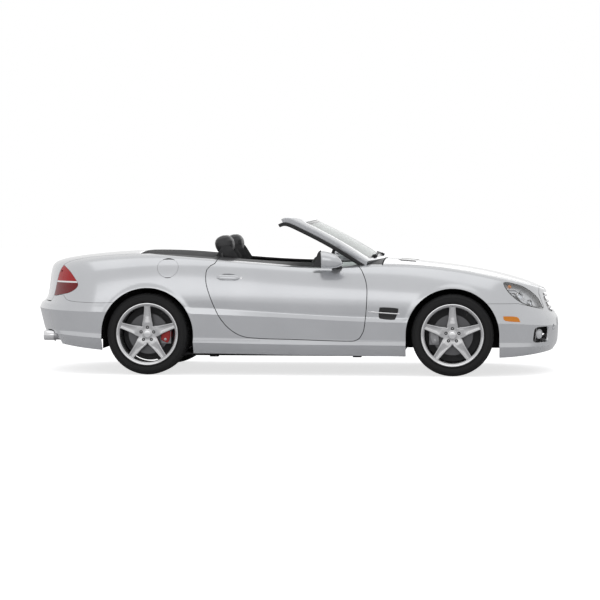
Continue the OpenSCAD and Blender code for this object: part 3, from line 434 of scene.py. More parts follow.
def row_point(r, s, inset):
    if r <= 9:
        return line_point(r, s, inset)
    p = line_point(9, s, inset)
    share = TOP_SHARE[r - 10]
    ridge = np.clip(p[..., 0], -560, 560)
    x = ridge + (p[..., 0] - ridge) * abs(share)
    y = p[..., 1] * share
    return np.stack([x, y, top_height(x, np.abs(y), inset)], -1)


def surface(v, s, inset=0.0):
    """Points in metres of the right half, for rows of v and columns of s."""
    rows = [row_point(r, s, inset) for r in ROWS]
    last = len(rows) - 1
    out = []
    for value in v:
        i = min(last - 1, int(math.floor(value)))
        a, b, c, d = (rows[min(last, max(0, j))] for j in (i - 1, i, i + 1, i + 2))
        out.append(spline(a, b, c, d, value - i))
    p = np.array(out)
    p[..., 1] *= -1
    return p * MM


def lipped(p):
    """Raises the rolled lip round both wheel arches."""
    for x in (FRONT_AXLE, REAR_AXLE):
        r = np.hypot(p[..., 0] - x, p[..., 2] - WHEEL_R)
        side = np.clip((-p[..., 1] - 0.6) / 0.1, 0, 1)
        rise = 0.0055 * (1 - np.clip((r - ARCH_R - 0.013) / 0.018, 0, 1)) * side
        p[..., 1] = np.maximum(p[..., 1] - rise, np.minimum(p[..., 1], -0.9125))
    return p


def patch(v_rows, s_columns, inset=0.0, shape=None):
    """A grid laid on the body surface, for the right half."""
    bm = bmesh.new()
    bmesh.ops.create_grid(bm, x_segments=len(s_columns) - 1, y_segments=len(v_rows) - 1, size=1)
    co = np.array([v.co for v in bm.verts])
    column = np.rint((co[:, 0] + 1) / 2 * (len(s_columns) - 1)).astype(int)
    row = np.rint((co[:, 1] + 1) / 2 * (len(v_rows) - 1)).astype(int)
    points = surface(v_rows, np.array(s_columns), inset)
    if shape is not None:
        points = shape(points)
    for vert, r, c in zip(bm.verts, row, column):
        vert.co = points[r, c]
    return bm


def mirrored(bm):
    """The right half of a surface, joined to its mirror image."""
    bmesh.ops.remove_doubles(bm, verts=bm.verts, dist=1e-5)
    for vert in bm.verts:
        if abs(vert.co.y) < 2e-5:
            vert.co.y = 0
    bmesh.ops.mirror(bm, geom=bm.verts[:] + bm.edges[:] + bm.faces[:], axis="Y", merge_dist=1e-5)
    bmesh.ops.recalc_face_normals(bm, faces=bm.faces)
    return bm


def steps(*parts):
    """Even steps between stops: steps((0, 1, 4), (1, 2, 3)) has 4 steps to 1 and 3 to 2."""
    out = [parts[0][0]]
    for start, end, count in parts:
        out += [start + (end - start) * (j + 1) / count for j in range(count)]
    return out


V_FINE = steps((1, 4, 12), (4, 6, 8), (6, 9, 12), (9, 12, 12), (12, 19, 49), (19, TOP_ROW, 15))
S_FINE = steps((0, 0.35, 30), (0.35, 1, 40), (1, 2, 200), (2, 2.65, 40), (2.65, 3, 30))
SKIN_T = 0.012
bm = mirrored(patch(V_FINE, S_FINE, shape=lipped))
skin_tree = BVHTree.FromBMesh(bm)
skin_source = put("skin_source", bm, PAINT, normals=False)
skin_source.data.shade_smooth()
skin_source.data.set_sharp_from_angle(angle=math.radians(14))
skin_normals = np.array([c.vector for c in skin_source.data.corner_normals])


def walled(source, name, thickness):
    """A closed shell, from a skin inwards by its thickness."""
    bm = bmesh.new()
    bm.from_mesh(source.data)
    bmesh.ops.solidify(bm, geom=bm.faces[:], thickness=thickness)
    return put(name, bm, PAINT)


shell = walled(skin_source, "shell", SKIN_T)


def fair(thing, source=skin_source, tree=skin_tree, normals=skin_normals):
    """Gives the faces that lie on the body surface the surface's own smooth normals."""
    mesh = thing.data
    mesh.shade_smooth()
    polygons = source.data.polygons
    vertices = source.data.vertices
    flat = {}
    out = np.zeros((len(mesh.loops), 3))
    for face in mesh.polygons:
        hit = tree.find_nearest(face.center)
        on_skin = hit[0] is not None and hit[3] < 0.0012 and abs(face.normal.dot(hit[1])) > 0.9
        for k in face.loop_indices:
            normal = face.normal
            if on_skin:
                polygon = polygons[hit[2]]
                at = mesh.vertices[mesh.loops[k].vertex_index].co
                total, weight = Vector(), 0.0
                for j in polygon.loop_indices:
                    w = 1 / ((vertices[source.data.loops[j].vertex_index].co - at).length_squared + 1e-8)
                    total += w * Vector(normals[j])
                    weight += w
                normal = (total / weight).normalized()
                if normal.dot(face.normal) < 0:
                    normal = -normal
            out[k] = normal
    mesh.normals_split_custom_set(out.tolist())
    return thing


# ---- Shape helpers ----------------------------------------------------------------------------
def loft(rings, closed=True, caps=True):
    """A skin laid through rings of points, in metres, each ring with the same number of points."""
    rings = np.array(rings, float)
    if closed:
        rings = np.concatenate([rings, rings[:, :1]], 1)
    n, m = rings.shape[:2]
    bm = bmesh.new()
    bmesh.ops.create_grid(bm, x_segments=m - 1, y_segments=n - 1, size=1)
    co = np.array([v.co for v in bm.verts])
    column = np.rint((co[:, 0] + 1) / 2 * (m - 1)).astype(int)
    row = np.rint((co[:, 1] + 1) / 2 * (n - 1)).astype(int)
    for vert, r, c in zip(bm.verts, row, column):
        vert.co = rings[r, c]
    if closed:
        bmesh.ops.remove_doubles(bm, verts=bm.verts, dist=1e-6)
        if caps:
            bmesh.ops.holes_fill(bm, edges=bm.edges, sides=0)
    bmesh.ops.recalc_face_normals(bm, faces=bm.faces)
    return bm


def spun(profile, count=96, closed=True):
    """A profile of (radius, y) in metres, spun round the Y axis."""
    bm = bmesh.new()
    verts = [bm.verts.new((r, y, 0)) for r, y in profile]
    edges = [bm.edges.new(pair) for pair in zip(verts, verts[1:] + (verts[:1] if closed else []))]
    bmesh.ops.spin(bm, geom=verts + edges, cent=(0, 0, 0), axis=(0, 1, 0), angle=2 * math.pi, steps=count,
                   use_merge=True)
    bmesh.ops.remove_doubles(bm, verts=bm.verts, dist=1e-6)
    bmesh.ops.recalc_face_normals(bm, faces=bm.faces)
    return bm


def bevelled(bm, width, segments=2):
    sharp = [e for e in bm.edges if len(e.link_faces) == 2 and e.calc_face_angle(0) > 0.5]
    bmesh.ops.bevel(bm, geom=sharp, offset=width, segments=segments, profile=0.5, affect="EDGES", material=-1)
    return bm


def block(low, high, round_by=0.004, segments=2):
    """A box from one corner to the other, with rounded edges."""
    bm = bmesh.new()
    low, high = Vector(low), Vector(high)
    bmesh.ops.create_cube(bm, size=1)
    bmesh.ops.scale(bm, vec=high - low, verts=bm.verts)
    bmesh.ops.translate(bm, vec=(low + high) / 2, verts=bm.verts)
    return bevelled(bm, round_by, segments) if round_by else bm


def rod(a, b, r, count=24, r2=None, round_by=0.0):
    bm = bmesh.new()
    a, b = Vector(a), Vector(b)
    bmesh.ops.create_cone(bm, cap_ends=True, segments=count, radius1=r, radius2=r if r2 is None else r2,
                          depth=(b - a).length)
    turn = (b - a).to_track_quat("Z", "Y").to_matrix().to_4x4()
    if round_by:
        bevelled(bm, round_by, 2)
    bmesh.ops.transform(bm, matrix=Matrix.Translation((a + b) / 2) @ turn, verts=bm.verts)
    return bm


def gathered(parts):
    """Several bmeshes as one, with the material indexes that they have."""
    out = bmesh.new()
    for bm in parts:
        spare = bpy.data.meshes.new("spare")
        bm.to_mesh(spare)
        bm.free()
        out.from_mesh(spare)
        bpy.data.meshes.remove(spare)
    return out


def joined(*parts):
    """Several bmeshes as one. A part may be (bmesh, material index), and the index is 0 otherwise."""
    plain = []
    for part in parts:
        bm, index = part if isinstance(part, tuple) else (part, 0)
        for face in bm.faces:
            face.material_index = index
        plain.append(bm)
    return gathered(plain)


def moved(bm, by=(0, 0, 0), flip=False):
    if flip:
        bmesh.ops.scale(bm, vec=(1, -1, 1), verts=bm.verts)
        bmesh.ops.reverse_faces(bm, faces=bm.faces)
    bmesh.ops.translate(bm, vec=by, verts=bm.verts)
    return bm


def copied(thing):
    bm = bmesh.new()
    bm.from_mesh(thing.data)
    return bm


def stamp(thing, name, by=(0, 0, 0), flip=False):
    """A second piece of the same shape, moved and, for the left side, mirrored."""
    made = put(name, moved(copied(thing), by, flip), list(thing.data.materials), normals=False)
    made.data.set_sharp_from_angle(angle=math.radians(35))
    return made


def ring_of(count, build, at=0.0):
    """Copies of a piece turned round the Y axis."""
    parts = []
    for k in range(count):
        bm = build()
        bmesh.ops.rotate(bm, cent=(0, 0, 0), matrix=Matrix.Rotation(at + 2 * math.pi * k / count, 3, "Y"),
                         verts=bm.verts)
        parts.append(bm)
    return joined(*parts)


# ---- Panel outlines in millimetres: (x, z) from the side, or (x, y) from above -----------------
def rounded(points, count=10, corners=()):
    """A smooth closed line through the points, with its corners kept at the named places."""
    p = [np.array(q, float) for q in points]
    m = len(p)
    out = []
    for i in range(m):
        a, b, c, d = p[i - 1], p[i], p[(i + 1) % m], p[(i + 2) % m]
        if i in corners:
            a = b - (c - b)
        if (i + 1) % m in corners:
            d = c + (c - b)
        if i in corners and (i + 1) % m in corners:
            out.append(b)
            continue
        for j in range(count):
            t = j / count
            out.append(0.5 * (2 * b + (c - a) * t + (2 * a - 5 * b + 4 * c - d) * t * t
                              + (3 * b - a - 3 * c + d) * t ** 3))
    return out


def grown(points, by):
    """The outline moved outwards by a gap."""
    p = [np.array(q, float) for q in points]
    area = sum(a[0] * b[1] - b[0] * a[1] for a, b in zip(p, p[1:] + p[:1]))
    turn = 1 if area > 0 else -1
    out = []
    for i, b in enumerate(p):
        before, after = b - p[i - 1], p[(i + 1) % len(p)] - b
        n1 = np.array([before[1], -before[0]]) / (np.hypot(*before) + 1e-9)
        n2 = np.array([after[1], -after[0]]) / (np.hypot(*after) + 1e-9)
        n = n1 + n2
        out.append(b + turn * by * n / max(0.35, n.dot(n) / 2))
    return out


def prism(points, low, high, axis="Y"):
    """A block with this outline: seen from the side for Y, from above for Z."""
    bm = bmesh.new()
    if axis == "Y":
        verts = [bm.verts.new((q[0] * MM, low, q[1] * MM)) for q in points]
        along = (0, high - low, 0)
    else:
        verts = [bm.verts.new((q[0] * MM, q[1] * MM, low)) for q in points]
        along = (0, 0, high - low)
    face = bm.faces.new(verts)
    made = bmesh.ops.extrude_face_region(bm, geom=[face], use_keep_orig=True)
    bmesh.ops.translate(bm, vec=along, verts=[v for v in made["geom"] if isinstance(v, bmesh.types.BMVert)])
    return put("tool", bm, PAINT)


def right_block(points, inner=0.2):
    return prism(points, -1.4, -inner)


def both_blocks(points):
    return prism(points, -1.4, 1.4)


def arch_tool(x, r=ARCH_R):
    """The round wheel opening, with straight sides below the axle."""
    return prism([(1000 * (x + r * math.cos(a)), 1000 * (WHEEL_R + r * math.sin(a)))
                  for a in np.linspace(0, math.pi, 97)] + [(1000 * (x - r), -50), (1000 * (x + r), -50)], -1.4,
                 1.4)


def plan_tool(half, low, by=0.0):
    """A block over a plan outline given as its left half, from the middle line out and back."""
    full = half + [(x, -y) for x, y in reversed(half)]
    return prism(grown(full, by) if by else full, low, 1.6, "Z")


DOOR = [(-607, 547), (-518, 414), (-398, 333), (-249, 312), (12, 305), (457, 293), (560, 301), (604, 346),
        (627, 419), (645, 625), (641, 758), (604, 862), (550, 960), (550, 1200), (-600, 1200), (-607, 962),
        (-660, 905), (-689, 858), (-681, 740)]
DOOR = rounded(DOOR, 8, (13, 14))
FRONT_BUMPER = [(1560, 60), (1640, 602), (1895, 600), (2100, 545), (2112, 560), (2070, 676), (2100, 1200),
                (2400, 1200), (2400, 60)]
REAR_BUMPER = rounded([(-1370, 60), (-1440, 604), (-1620, 600), (-1860, 614), (-1930, 660), (-2018, 646),
                       (-2110, 648), (-2400, 655), (-2400, 60)], 6, (0, 1, 6, 7, 8))
HEADLAMP = rounded([(1776, 772), (1880, 757), (1962, 722), (2050, 650), (2104, 556), (2010, 572), (1911, 614),
                    (1820, 690)], 8, (4,))
TAIL_LAMP = rounded([(-1782, 752), (-1815, 802), (-1872, 860), (-1945, 908), (-2010, 892), (-2080, 850),
                     (-2300, 835), (-2300, 668), (-2110, 656), (-2018, 653), (-1930, 668), (-1864, 682),
                     (-1803, 715)], 8,
                    (3, 6, 7, 8))
SILL = [(-1100, 60), (-1100, 288), (-245, 288), (-245, 330), (520, 330), (541, 288), (1300, 288), (1300, 60)]
HOOD_REAR, LID_FRONT = 770, -1268
edge = line_point(9, np.linspace(0, 2, 49), 0.0)
side = [(p[0] + (2 if p[1] < 500 else 0), p[1]) for p in edge if p[0] > HOOD_REAR]
HOOD = [(2245, 0)] + [(x, max(1, y)) for x, y in side[1:]] + [(HOOD_REAR, side[-1][1]), (HOOD_REAR, 0)]
HOOD[0] = (2245, 0)
LID = [(-2400, 0), (-2400, 560), (-1950, 560), (-1800, 602), (-1500, 638), (LID_FRONT, 655), (LID_FRONT, 0)]
DECK = [(-1262, 0), (-1262, 655), (-1000, 655), (-650, 655), (-650, 0)]
COWL = [(540, 0), (540, 705), (765, 712), (765, 0)]
LID_GAP, GAP = 4.5, 5


def screen_point(a, q, out):
    low = np.array([749 - 103 * q * q, 700 * q, 967 - 14 * q * q])
    high = np.array([121 - 67 * q * q, 560 * q, 1304 - 27 * q * q])
    rise = out + 14 * math.sin(math.pi * a)
    lean = math.atan2(749 - 121, 1304 - 967)
    drop_down = np.array([0, 0, 3900 * max(0.0, a - 1) ** 3])
    return (low + (high - low) * a + rise * np.array([math.cos(lean), 0, math.sin(lean)]) - drop_down) * MM



# ---- Outer panels ------------------------------------------------------------------------------
def panel(name, cuts, body, *nodes, material=None, base=None):
    thing = carved(name, base or shell, cuts, material or PAINT)
    fair(thing)
    return fit(thing, body, "silver_paint", *nodes)


BELT_AT, BELT_UP = Vector((-0.607, 0, 0.962)), Vector((0.0776, 0, 1)).normalized()


def belted(thing, ahead):
    """Splits a side panel along the belt, and makes all of it above the belt black trim."""
    bm = copied(thing)
    bmesh.ops.bisect_plane(bm, geom=bm.verts[:] + bm.edges[:] + bm.faces[:], plane_co=BELT_AT, plane_no=BELT_UP,
                           dist=1e-6)
    bmesh.ops.bisect_plane(bm, geom=bm.verts[:] + bm.edges[:] + bm.faces[:], plane_co=(ahead, 0, 0),
                           plane_no=(1, 0, 0), dist=1e-6)
    for face in bm.faces:
        middle = face.calc_center_median()
        if (middle - BELT_AT).dot(BELT_UP) > 0 and -1.30 < middle.x < ahead:
            face.material_index = 1
    bm.to_mesh(thing.data)
    bm.free()
    thing.data.materials.append(BLACK)
    return thing


def two_sides(name, build, body, nodes=(), slot="silver_paint"):
    """Builds the right-hand piece, then its mirror image."""
    right = build()
    bm = bmesh.new()
    bm.from_mesh(right.data)
    bmesh.ops.scale(bm, vec=(1, -1, 1), verts=bm.verts)
    bmesh.ops.reverse_faces(bm, faces=bm.faces)
    left = bpy.data.objects.new(name + "_left", bpy.data.meshes.new(name + "_left"))
    bm.to_mesh(left.data)
    bm.free()
    bpy.context.scene.collection.objects.link(left)
    for m in right.data.materials:
        left.data.materials.append(m)
    right.name = name + "_right"
    for side, thing in (("right", right), ("left", left)):
        fair(thing)
        fit(thing, body.replace("SIDE", side), slot, *[node.replace("SIDE", side) for node in nodes])
    return right, left


panel("hood_skin", [(plan_tool(HOOD, 0.69, -LID_GAP), "INTERSECT")], "hood_body", "hood")
panel("trunk_lid_skin", [(plan_tool(LID, 0.607, -LID_GAP), "INTERSECT")], "trunk_lid_body", "trunk_lid")


def ahead_block(outline, x0, x1):
    """A block through the nose or tail, with an outline of (y, z)."""
    bm = bmesh.new()
    verts = [bm.verts.new((x0, y * MM, z * MM)) for y, z in outline]
    face = bm.faces.new(verts)
    made = bmesh.ops.extrude_face_region(bm, geom=[face], use_keep_orig=True)
    bmesh.ops.translate(bm, vec=(x1 - x0, 0, 0),
                        verts=[v for v in made["geom"] if isinstance(v, bmesh.types.BMVert)])
    return put("tool", bm, PAINT)


def oval(y, z, ry, rz, count=48, power=2.0):
    out = []
    for a in around(count):
        c, s = math.cos(a), math.sin(a)
        out.append((y + ry * bent(c, 2 / power), z + rz * bent(s, 2 / power)))
    return out


GRILLE = oval(0, 598, 372, 84, 96, 7)
GRILLE_BACK = oval(0, 598, 376, 92, 64, 7)
front_cuts = [(both_blocks(FRONT_BUMPER), "INTERSECT"), (plan_tool(HOOD, 0.64, LID_GAP), "DIFFERENCE"),
              (arch_tool(FRONT_AXLE), "DIFFERENCE"), (both_blocks(grown(HEADLAMP, 1.5)), "DIFFERENCE"),
              (ahead_block(GRILLE, 1.8, 2.4), "DIFFERENCE"),
              (ahead_block(oval(-585, 337, 100, 66, 40, 5), 1.8, 2.4), "DIFFERENCE"),
              (ahead_block(oval(585, 337, 100, 66, 40, 5), 1.8, 2.4), "DIFFERENCE"),
              (ahead_block(oval(-380, 390, 26, 26, 24), 2.0, 2.4), "DIFFERENCE")]
panel("front_bumper_skin", front_cuts, "body", "front_bumper")
rear_cuts = [(both_blocks(REAR_BUMPER), "INTERSECT"), (arch_tool(REAR_AXLE), "DIFFERENCE"),
             (both_blocks(grown(TAIL_LAMP, 1.5)), "DIFFERENCE"), (plan_tool(LID, 0.6, LID_GAP), "DIFFERENCE")]
for y in (-540, 540):
    rear_cuts.append((ahead_block(oval(y, 298, 104, 64, 48, 4), -2.4, -1.95), "DIFFERENCE"))
panel("rear_bumper_skin", rear_cuts, "body", "rear_bumper")


def fender():
    return carved("front_fender_skin", shell, [
        (right_block([(542, 289), (1700, 289), (2400, 400), (2400, 1200), (560, 1200), (560, 320)], 0.3),
         "INTERSECT"),
        (right_block(grown(DOOR, GAP + 1)), "DIFFERENCE"),
                                               (right_block(grown(FRONT_BUMPER, 2.5)), "DIFFERENCE"),
        (right_block(grown(HEADLAMP, 2)), "DIFFERENCE"), (plan_tool(HOOD, 0.64, LID_GAP), "DIFFERENCE"),
        (arch_tool(FRONT_AXLE), "DIFFERENCE"), (plan_tool(COWL, 0.64, 1), "DIFFERENCE"),
        (right_block(VENT, 0.5), "DIFFERENCE")], PAINT)


VENT = rounded([(768, 572), (885, 566), (910, 552), (890, 489), (868, 469), (772, 476), (748, 492), (752, 556)],
               5)


def quarter():
    return belted(carved("rear_quarter_skin", shell, [
        (right_block([(-2400, 289), (-246, 289), (-246, 420), (-520, 480), (-560, 1200), (-2400, 1200)], 0.3),
         "INTERSECT"),
        (right_block(grown(DOOR, GAP + 1)), "DIFFERENCE"), (right_block(grown(REAR_BUMPER, 2.5)), "DIFFERENCE"),
        (right_block(grown(TAIL_LAMP, 2)), "DIFFERENCE"), (plan_tool(LID, 0.5, LID_GAP), "DIFFERENCE"),
        (plan_tool(DECK, 0.5, 0), "DIFFERENCE"), (arch_tool(REAR_AXLE), "DIFFERENCE")], PAINT), 0.300)


def skin_at(x, z):
    """The point on the right-hand side of the body at x and z, and its outward normal."""
    hit = skin_tree.ray_cast(Vector((x, -1.3, z)), Vector((0, 1, 0)))
    normal = hit[1] if hit[1].y < 0 else -hit[1]
    return hit[0], normal


def nose_at(y, z, side=1):
    hit = skin_tree.ray_cast(Vector((3.0 * side, y, z)), Vector((-side, 0, 0)))
    normal = hit[1] if hit[1].x * side > 0 else -hit[1]
    return hit[0], normal


def cup_tool():
    """The hollow behind the door handle."""
    at, normal = skin_at(-0.500, 0.822)
    bm = bmesh.new()
    bmesh.ops.create_uvsphere(bm, u_segments=48, v_segments=24, radius=1)
    bmesh.ops.scale(bm, vec=(0.088, 0.020, 0.036), verts=bm.verts)
    bmesh.ops.translate(bm, vec=at + normal * 0.0095, verts=bm.verts)
    return put("tool", bm, PAINT)


def door_skin():
    return belted(carved("door_skin", shell,
                         [(right_block(DOOR, 0.55), "INTERSECT"), (cup_tool(), "DIFFERENCE")], PAINT), 0.300)


def sill():
    return carved("side_sill_skin", shell, [
        (right_block(SILL, 0.3), "INTERSECT"), (right_block(grown(DOOR, GAP + 1)), "DIFFERENCE"),
        (arch_tool(FRONT_AXLE), "DIFFERENCE"), (arch_tool(REAR_AXLE), "DIFFERENCE")], PAINT)


two_sides("front_fender_skin", fender, "body", ["front_fender_SIDE"])
two_sides("rear_quarter_skin", quarter, "body", ["rear_quarter_SIDE"])
two_sides("door_skin", door_skin, "door_SIDE_body", ["door_SIDE"])
two_sides("side_sill_skin", sill, "body", [])
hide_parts("side_sills")

# ---- Wheels, made with the outer face towards -Y and their middle at the origin ---------------
SPOKE = [(56, 38), (60, 42), (66, 45), (75, 47.5), (85, 46), (100, 42), (130, 36), (160, 32.5), (200, 28.5),
         (232, 26), (240, 30), (247, 40)]
SIDES = (("right", -1), ("left", 1))
ENDS = (("front", FRONT_AXLE, FRONT_Y, 0.255), ("rear", REAR_AXLE, REAR_Y, 0.285))


def between(stops, x):
    return float(np.interp(x, [q[0] for q in stops], [q[1] for q in stops]))


def spoke(w):
    """One spoke, pointing up: raised edges, a hollow middle and a narrower back."""
    rings = []
    for r in [56, 64, 75, 85, 95, 105, 118, 132, 148, 165, 182, 200, 218, 230, 239, 247]:
        half = between(SPOKE, r)
        face = between([(56, 25), (90, 20), (140, 16), (232, 12), (247, 14)], r)
        deep = between([(95, 0), (118, 4), (150, 9), (235, 10), (249, 6)], r)
        back = between([(56, 62), (120, 52), (249, 44)], r)
        flank = [(-1, 8), (-0.93, 2), (-0.8, 0), (-0.66, 1.5), (-0.5, deep * 0.8), (-0.2, deep), (0.2, deep),
                 (0.5, deep * 0.8), (0.66, 1.5), (0.8, 0), (0.93, 2), (1, 8), (0.92, back - face),
                 (0.5, back - face + 6), (-0.5, back - face + 6), (-0.92, back - face)]
        rings.append([(half * t * MM, -w / 2 + (face + d) * MM, r * MM) for t, d in flank])
    return loft(rings)


def wheel_star(w):
    hub = [(0.0, 0.020), (0.030, 0.020), (0.034, 0.022), (0.036, 0.0265), (0.050, 0.0265), (0.074, 0.024),
           (0.080, 0.030), (0.080, 0.0615), (0.0, 0.0615)]
    bm = joined(ring_of(5, lambda: spoke(w)), spun([(r, -w / 2 + y) for r, y in hub], 64))
    star = put("star", bm, ALLOY, normals=False)
    fused = star.modifiers.new("fuse", "REMESH")
    fused.mode = "VOXEL"
    fused.voxel_size = 0.0026
    soft = star.modifiers.new("soft", "SMOOTH")
    soft.factor = 0.5
    soft.iterations = 9
    applied(star)
    for k in range(5):
        a = 2 * math.pi * k / 5
        x, z = 0.056 * math.sin(a), 0.056 * math.cos(a)
        tool = put("tool", rod((x, -w / 2, z), (x, -w / 2 + 0.044, z), 0.0137, 24), ALLOY)
        cut = star.modifiers.new("cut", "BOOLEAN")
        cut.object, cut.operation, cut.solver = tool, "DIFFERENCE", "MANIFOLD"
        applied(star)
        drop(tool)
    return star


def barrel(w):
    h = w / 2
    return spun([(0.2300, -h + 0.026), (0.2335, -h + 0.0175), (0.2380, -h + 0.0130), (0.2440, -h + 0.0085),
                 (0.2485, -h + 0.0050), (0.254, -h + 0.001), (0.2585, -h + 0.002), (0.260, -h + 0.006),
                 (0.2595, -h + 0.013), (0.253, -h + 0.019), (0.243, -h + 0.045), (0.243, h - 0.04),
                 (0.253, h - 0.018), (0.2595, h - 0.012), (0.259, h - 0.004), (0.252, h - 0.002),
                 (0.247, h - 0.008), (0.238, h - 0.04), (0.234, 0.0), (0.234, -h + 0.06), (0.234, -h + 0.034)],
                120)


def wheel_parts(w):
    """The rim, its lip, cap and bolts as one piece."""
    star = wheel_star(w)
    h = w / 2
    bolts = ring_of(5, lambda: rod((0, -h + 0.0225, 0.056), (0, -h + 0.046, 0.056), 0.0066, 6, round_by=0.0010))
    # Gloss black discs fill each bolt recess to just under the hub face: painted shade of the deep holes round the
    # bolts.
    recess_shade = ring_of(5, lambda: rod((0, -h + 0.0275, 0.056), (0, -h + 0.0445, 0.056), 0.0139, 24))
    cap = spun([(0.0, -h + 0.0175), (0.020, -h + 0.0180), (0.0275, -h + 0.0192), (0.0285, -h + 0.021),
                (0.0, -h + 0.024)], 48)
    lip = spun([(0.2478, -h + 0.0055), (0.2505, -h + 0.0026), (0.2540, -h + 0.0004), (0.2575, -h + 0.0010),
                (0.2530, -h + 0.0030)], 120)
    valve = rod((0.222 * math.sin(0.6), -h + 0.030, 0.222 * math.cos(0.6)),
                (0.2 * math.sin(0.6), -h + 0.022, 0.2 * math.cos(0.6)), 0.004, 12)
    star_bm = copied(star)
    drop(star)
    bm = joined((star_bm, 0), (barrel(w), 0), (lip, 1), (bolts, 2), (recess_shade, 3), (cap, 1), (valve, 3))
    return smooth(put("wheel", bm, [ALLOY, BRIGHT, STEEL, GLOSS_BLACK], normals=False), 40)


def tyre_piece(w):
    h = w / 2
    half_grooves = [0.018, 0.055]
    marks = sorted([-g for g in half_grooves] + half_grooves)
    profile = [(0.2592, -h + 0.020), (0.2602, -h + 0.008), (0.2660, -h + 0.0025), (0.2695, -h + 0.0055),
               (0.2735, -h + 0.0060), (0.2755, -h + 0.0022), (0.285, -h + 0.0004), (0.298, -h),
               (0.309, -h + 0.0016), (0.310, -h + 0.0034), (0.3115, -h + 0.0036), (0.3125, -h + 0.0024),
               (0.322, -h + 0.0065), (0.3310, -h + 0.0145), (0.3368, -h + 0.0260), (0.3392, -h + 0.0400)]
    tread = []
    for m in marks:
        tread += [(0.3405, m - 0.0065), (0.3402, m - 0.0055), (0.3335, m - 0.0040), (0.3335, m + 0.0040),
                  (0.3402, m + 0.0055), (0.3405, m + 0.0065)]
    inner = [(r, -y) for r, y in reversed(profile)]
    bm = spun(profile + tread + inner + [(0.2540, h - 0.020), (0.2540, -h + 0.020)], 168)
    bm.faces.ensure_lookup_table()
    cuts = []
    for face in bm.faces:
        c = face.calc_center_median()
        r = math.hypot(c.x, c.z)
        turn = int((math.atan2(c.z, c.x) / (2 * math.pi) + 1) * 168 + 0.5) % 168
        if r > 0.3375 and abs(c.y) > 0.062 and turn % 3 == (0 if c.y > 0 else 1):
            cuts.append(face)
        elif r > 0.3395 and 0.024 < abs(c.y) < 0.05 and turn % 4 == (0 if c.y > 0 else 2):
            cuts.append(face)
    bmesh.ops.inset_individual(bm, faces=cuts, thickness=0.0028, depth=-0.0055)
    return smooth(put("tyre", bm, TYRE), 30)


def disc_piece(w):
    y = -w / 2 + 0.080
    hat = [(0.028, y + 0.0005), (0.076, y + 0.0005), (0.078, y + 0.003), (0.078, y + 0.011), (0.098, y + 0.012),
           (0.100, y + 0.0105), (0.1685, y + 0.0105), (0.1697, y + 0.012), (0.1697, y + 0.0195),
           (0.158, y + 0.0200), (0.158, y + 0.0300), (0.1697, y + 0.0305), (0.1697, y + 0.0385),
           (0.1685, y + 0.0398), (0.030, y + 0.0398)]
    ribs = ring_of(36, lambda: block((-0.002, y + 0.0195, 0.11), (0.002, y + 0.0310, 0.1640), 0))
    return smooth(put("disc", joined((spun(hat, 96), 0), (ribs, 0)), DISC, normals=False), 35)


def calliper_cover(w, toward, finishes):
    """A rounded cover over the disc's calliper, behind the axle for -1 and ahead of it for 1."""
    y = -w / 2 + 0.090
    rings = []
    low, high = (math.radians(-25), math.radians(25))
    for k, a in enumerate(np.linspace(low, high, 17)):
        end = min(1.0, 0.72 + 0.28 * math.sin(math.pi * k / 16) ** 0.35)
        shape = [(0.1085, -0.018), (0.114, -0.0265), (0.150, -0.0275), (0.182, -0.0265), (0.1935, -0.018),
                 (0.1965, 0.0), (0.1965, 0.050), (0.190, 0.058), (0.176, 0.058), (0.1765, -0.0060),
                 (0.118, -0.0060), (0.1085, -0.0060)]
        rings.append([(toward * ((r - 0.155) * end + 0.155) * math.cos(a), y + t * (0.9 + 0.1 * end),
                       ((r - 0.155) * end + 0.155) * math.sin(a))
                      for r, t in shape])
    body = bevelled(loft(rings), 0.0016, 2)
    studs = []
    for a in (-0.3, 0.3):
        x, z = toward * 0.152 * math.cos(a), 0.152 * math.sin(a)
        studs.append((rod((x, y - 0.0300, z), (x, y - 0.020, z), 0.011, 24, round_by=0.001), 1))
    rib = block((min(toward * 0.125, toward * 0.182), y - 0.0290, -0.006),
                (max(toward * 0.125, toward * 0.182), y - 0.022, 0.006), 0.0012)
    return smooth(put("calliper", joined((body, 0), (rib, 0), *studs), finishes, normals=False), 35)


CALLIPER_GREY = metal("calliper_grey", (0.36, 0.36, 0.37), 0.42, (1, 1, 1), 0.06, 0.6)
CALLIPER_RED = metal("calliper_red", (0.42, 0.022, 0.02), 0.32, (1, 1, 1), 0.03, 0.15)
for end, x, y, w in ENDS:
    wheel, tyre, disc = wheel_parts(w), tyre_piece(w), disc_piece(w)
    toward = -1 if end == "front" else 1
    cover = calliper_cover(w, toward, [CALLIPER_GREY if end == "front" else CALLIPER_RED, STEEL])
    guard = smooth(put("guard",
                       spun([(0.090, 0.040), (0.150, 0.044), (0.205, 0.050), (0.226, 0.052), (0.226, 0.055),
                             (0.205, 0.053),
                                      (0.150, 0.047), (0.090, 0.043)], 72), [UNDERSIDE], normals=False), 40)
    for side, sign in SIDES:
        wheel_body = f"wheel_{end}_{side}"
        place = (x, sign * y, WHEEL_R)
        fit(stamp(wheel, f"alloy_wheel_{end}_{side}", place, sign > 0), wheel_body, "silver_alloy",
            f"rim_{end}_{side}")
        fit(stamp(tyre, f"treaded_tyre_{end}_{side}", place, sign > 0), wheel_body, "tyre",
            f"tyre_{end}_{side}")
        fit(stamp(disc, f"vented_disc_{end}_{side}", place, sign > 0), wheel_body, "disc_iron",
            f"brake_disc_{end}_{side}")
        rides = f"knuckle_{side}" if end == "front" else "body"
        fit(stamp(cover, f"calliper_{end}_{side}", place, sign > 0), rides, "disc_iron")
        fit(stamp(guard, f"dust_guard_{end}_{side}", place, sign > 0), rides, "black_plastic")
    drop(wheel, tyre, disc, cover, guard)

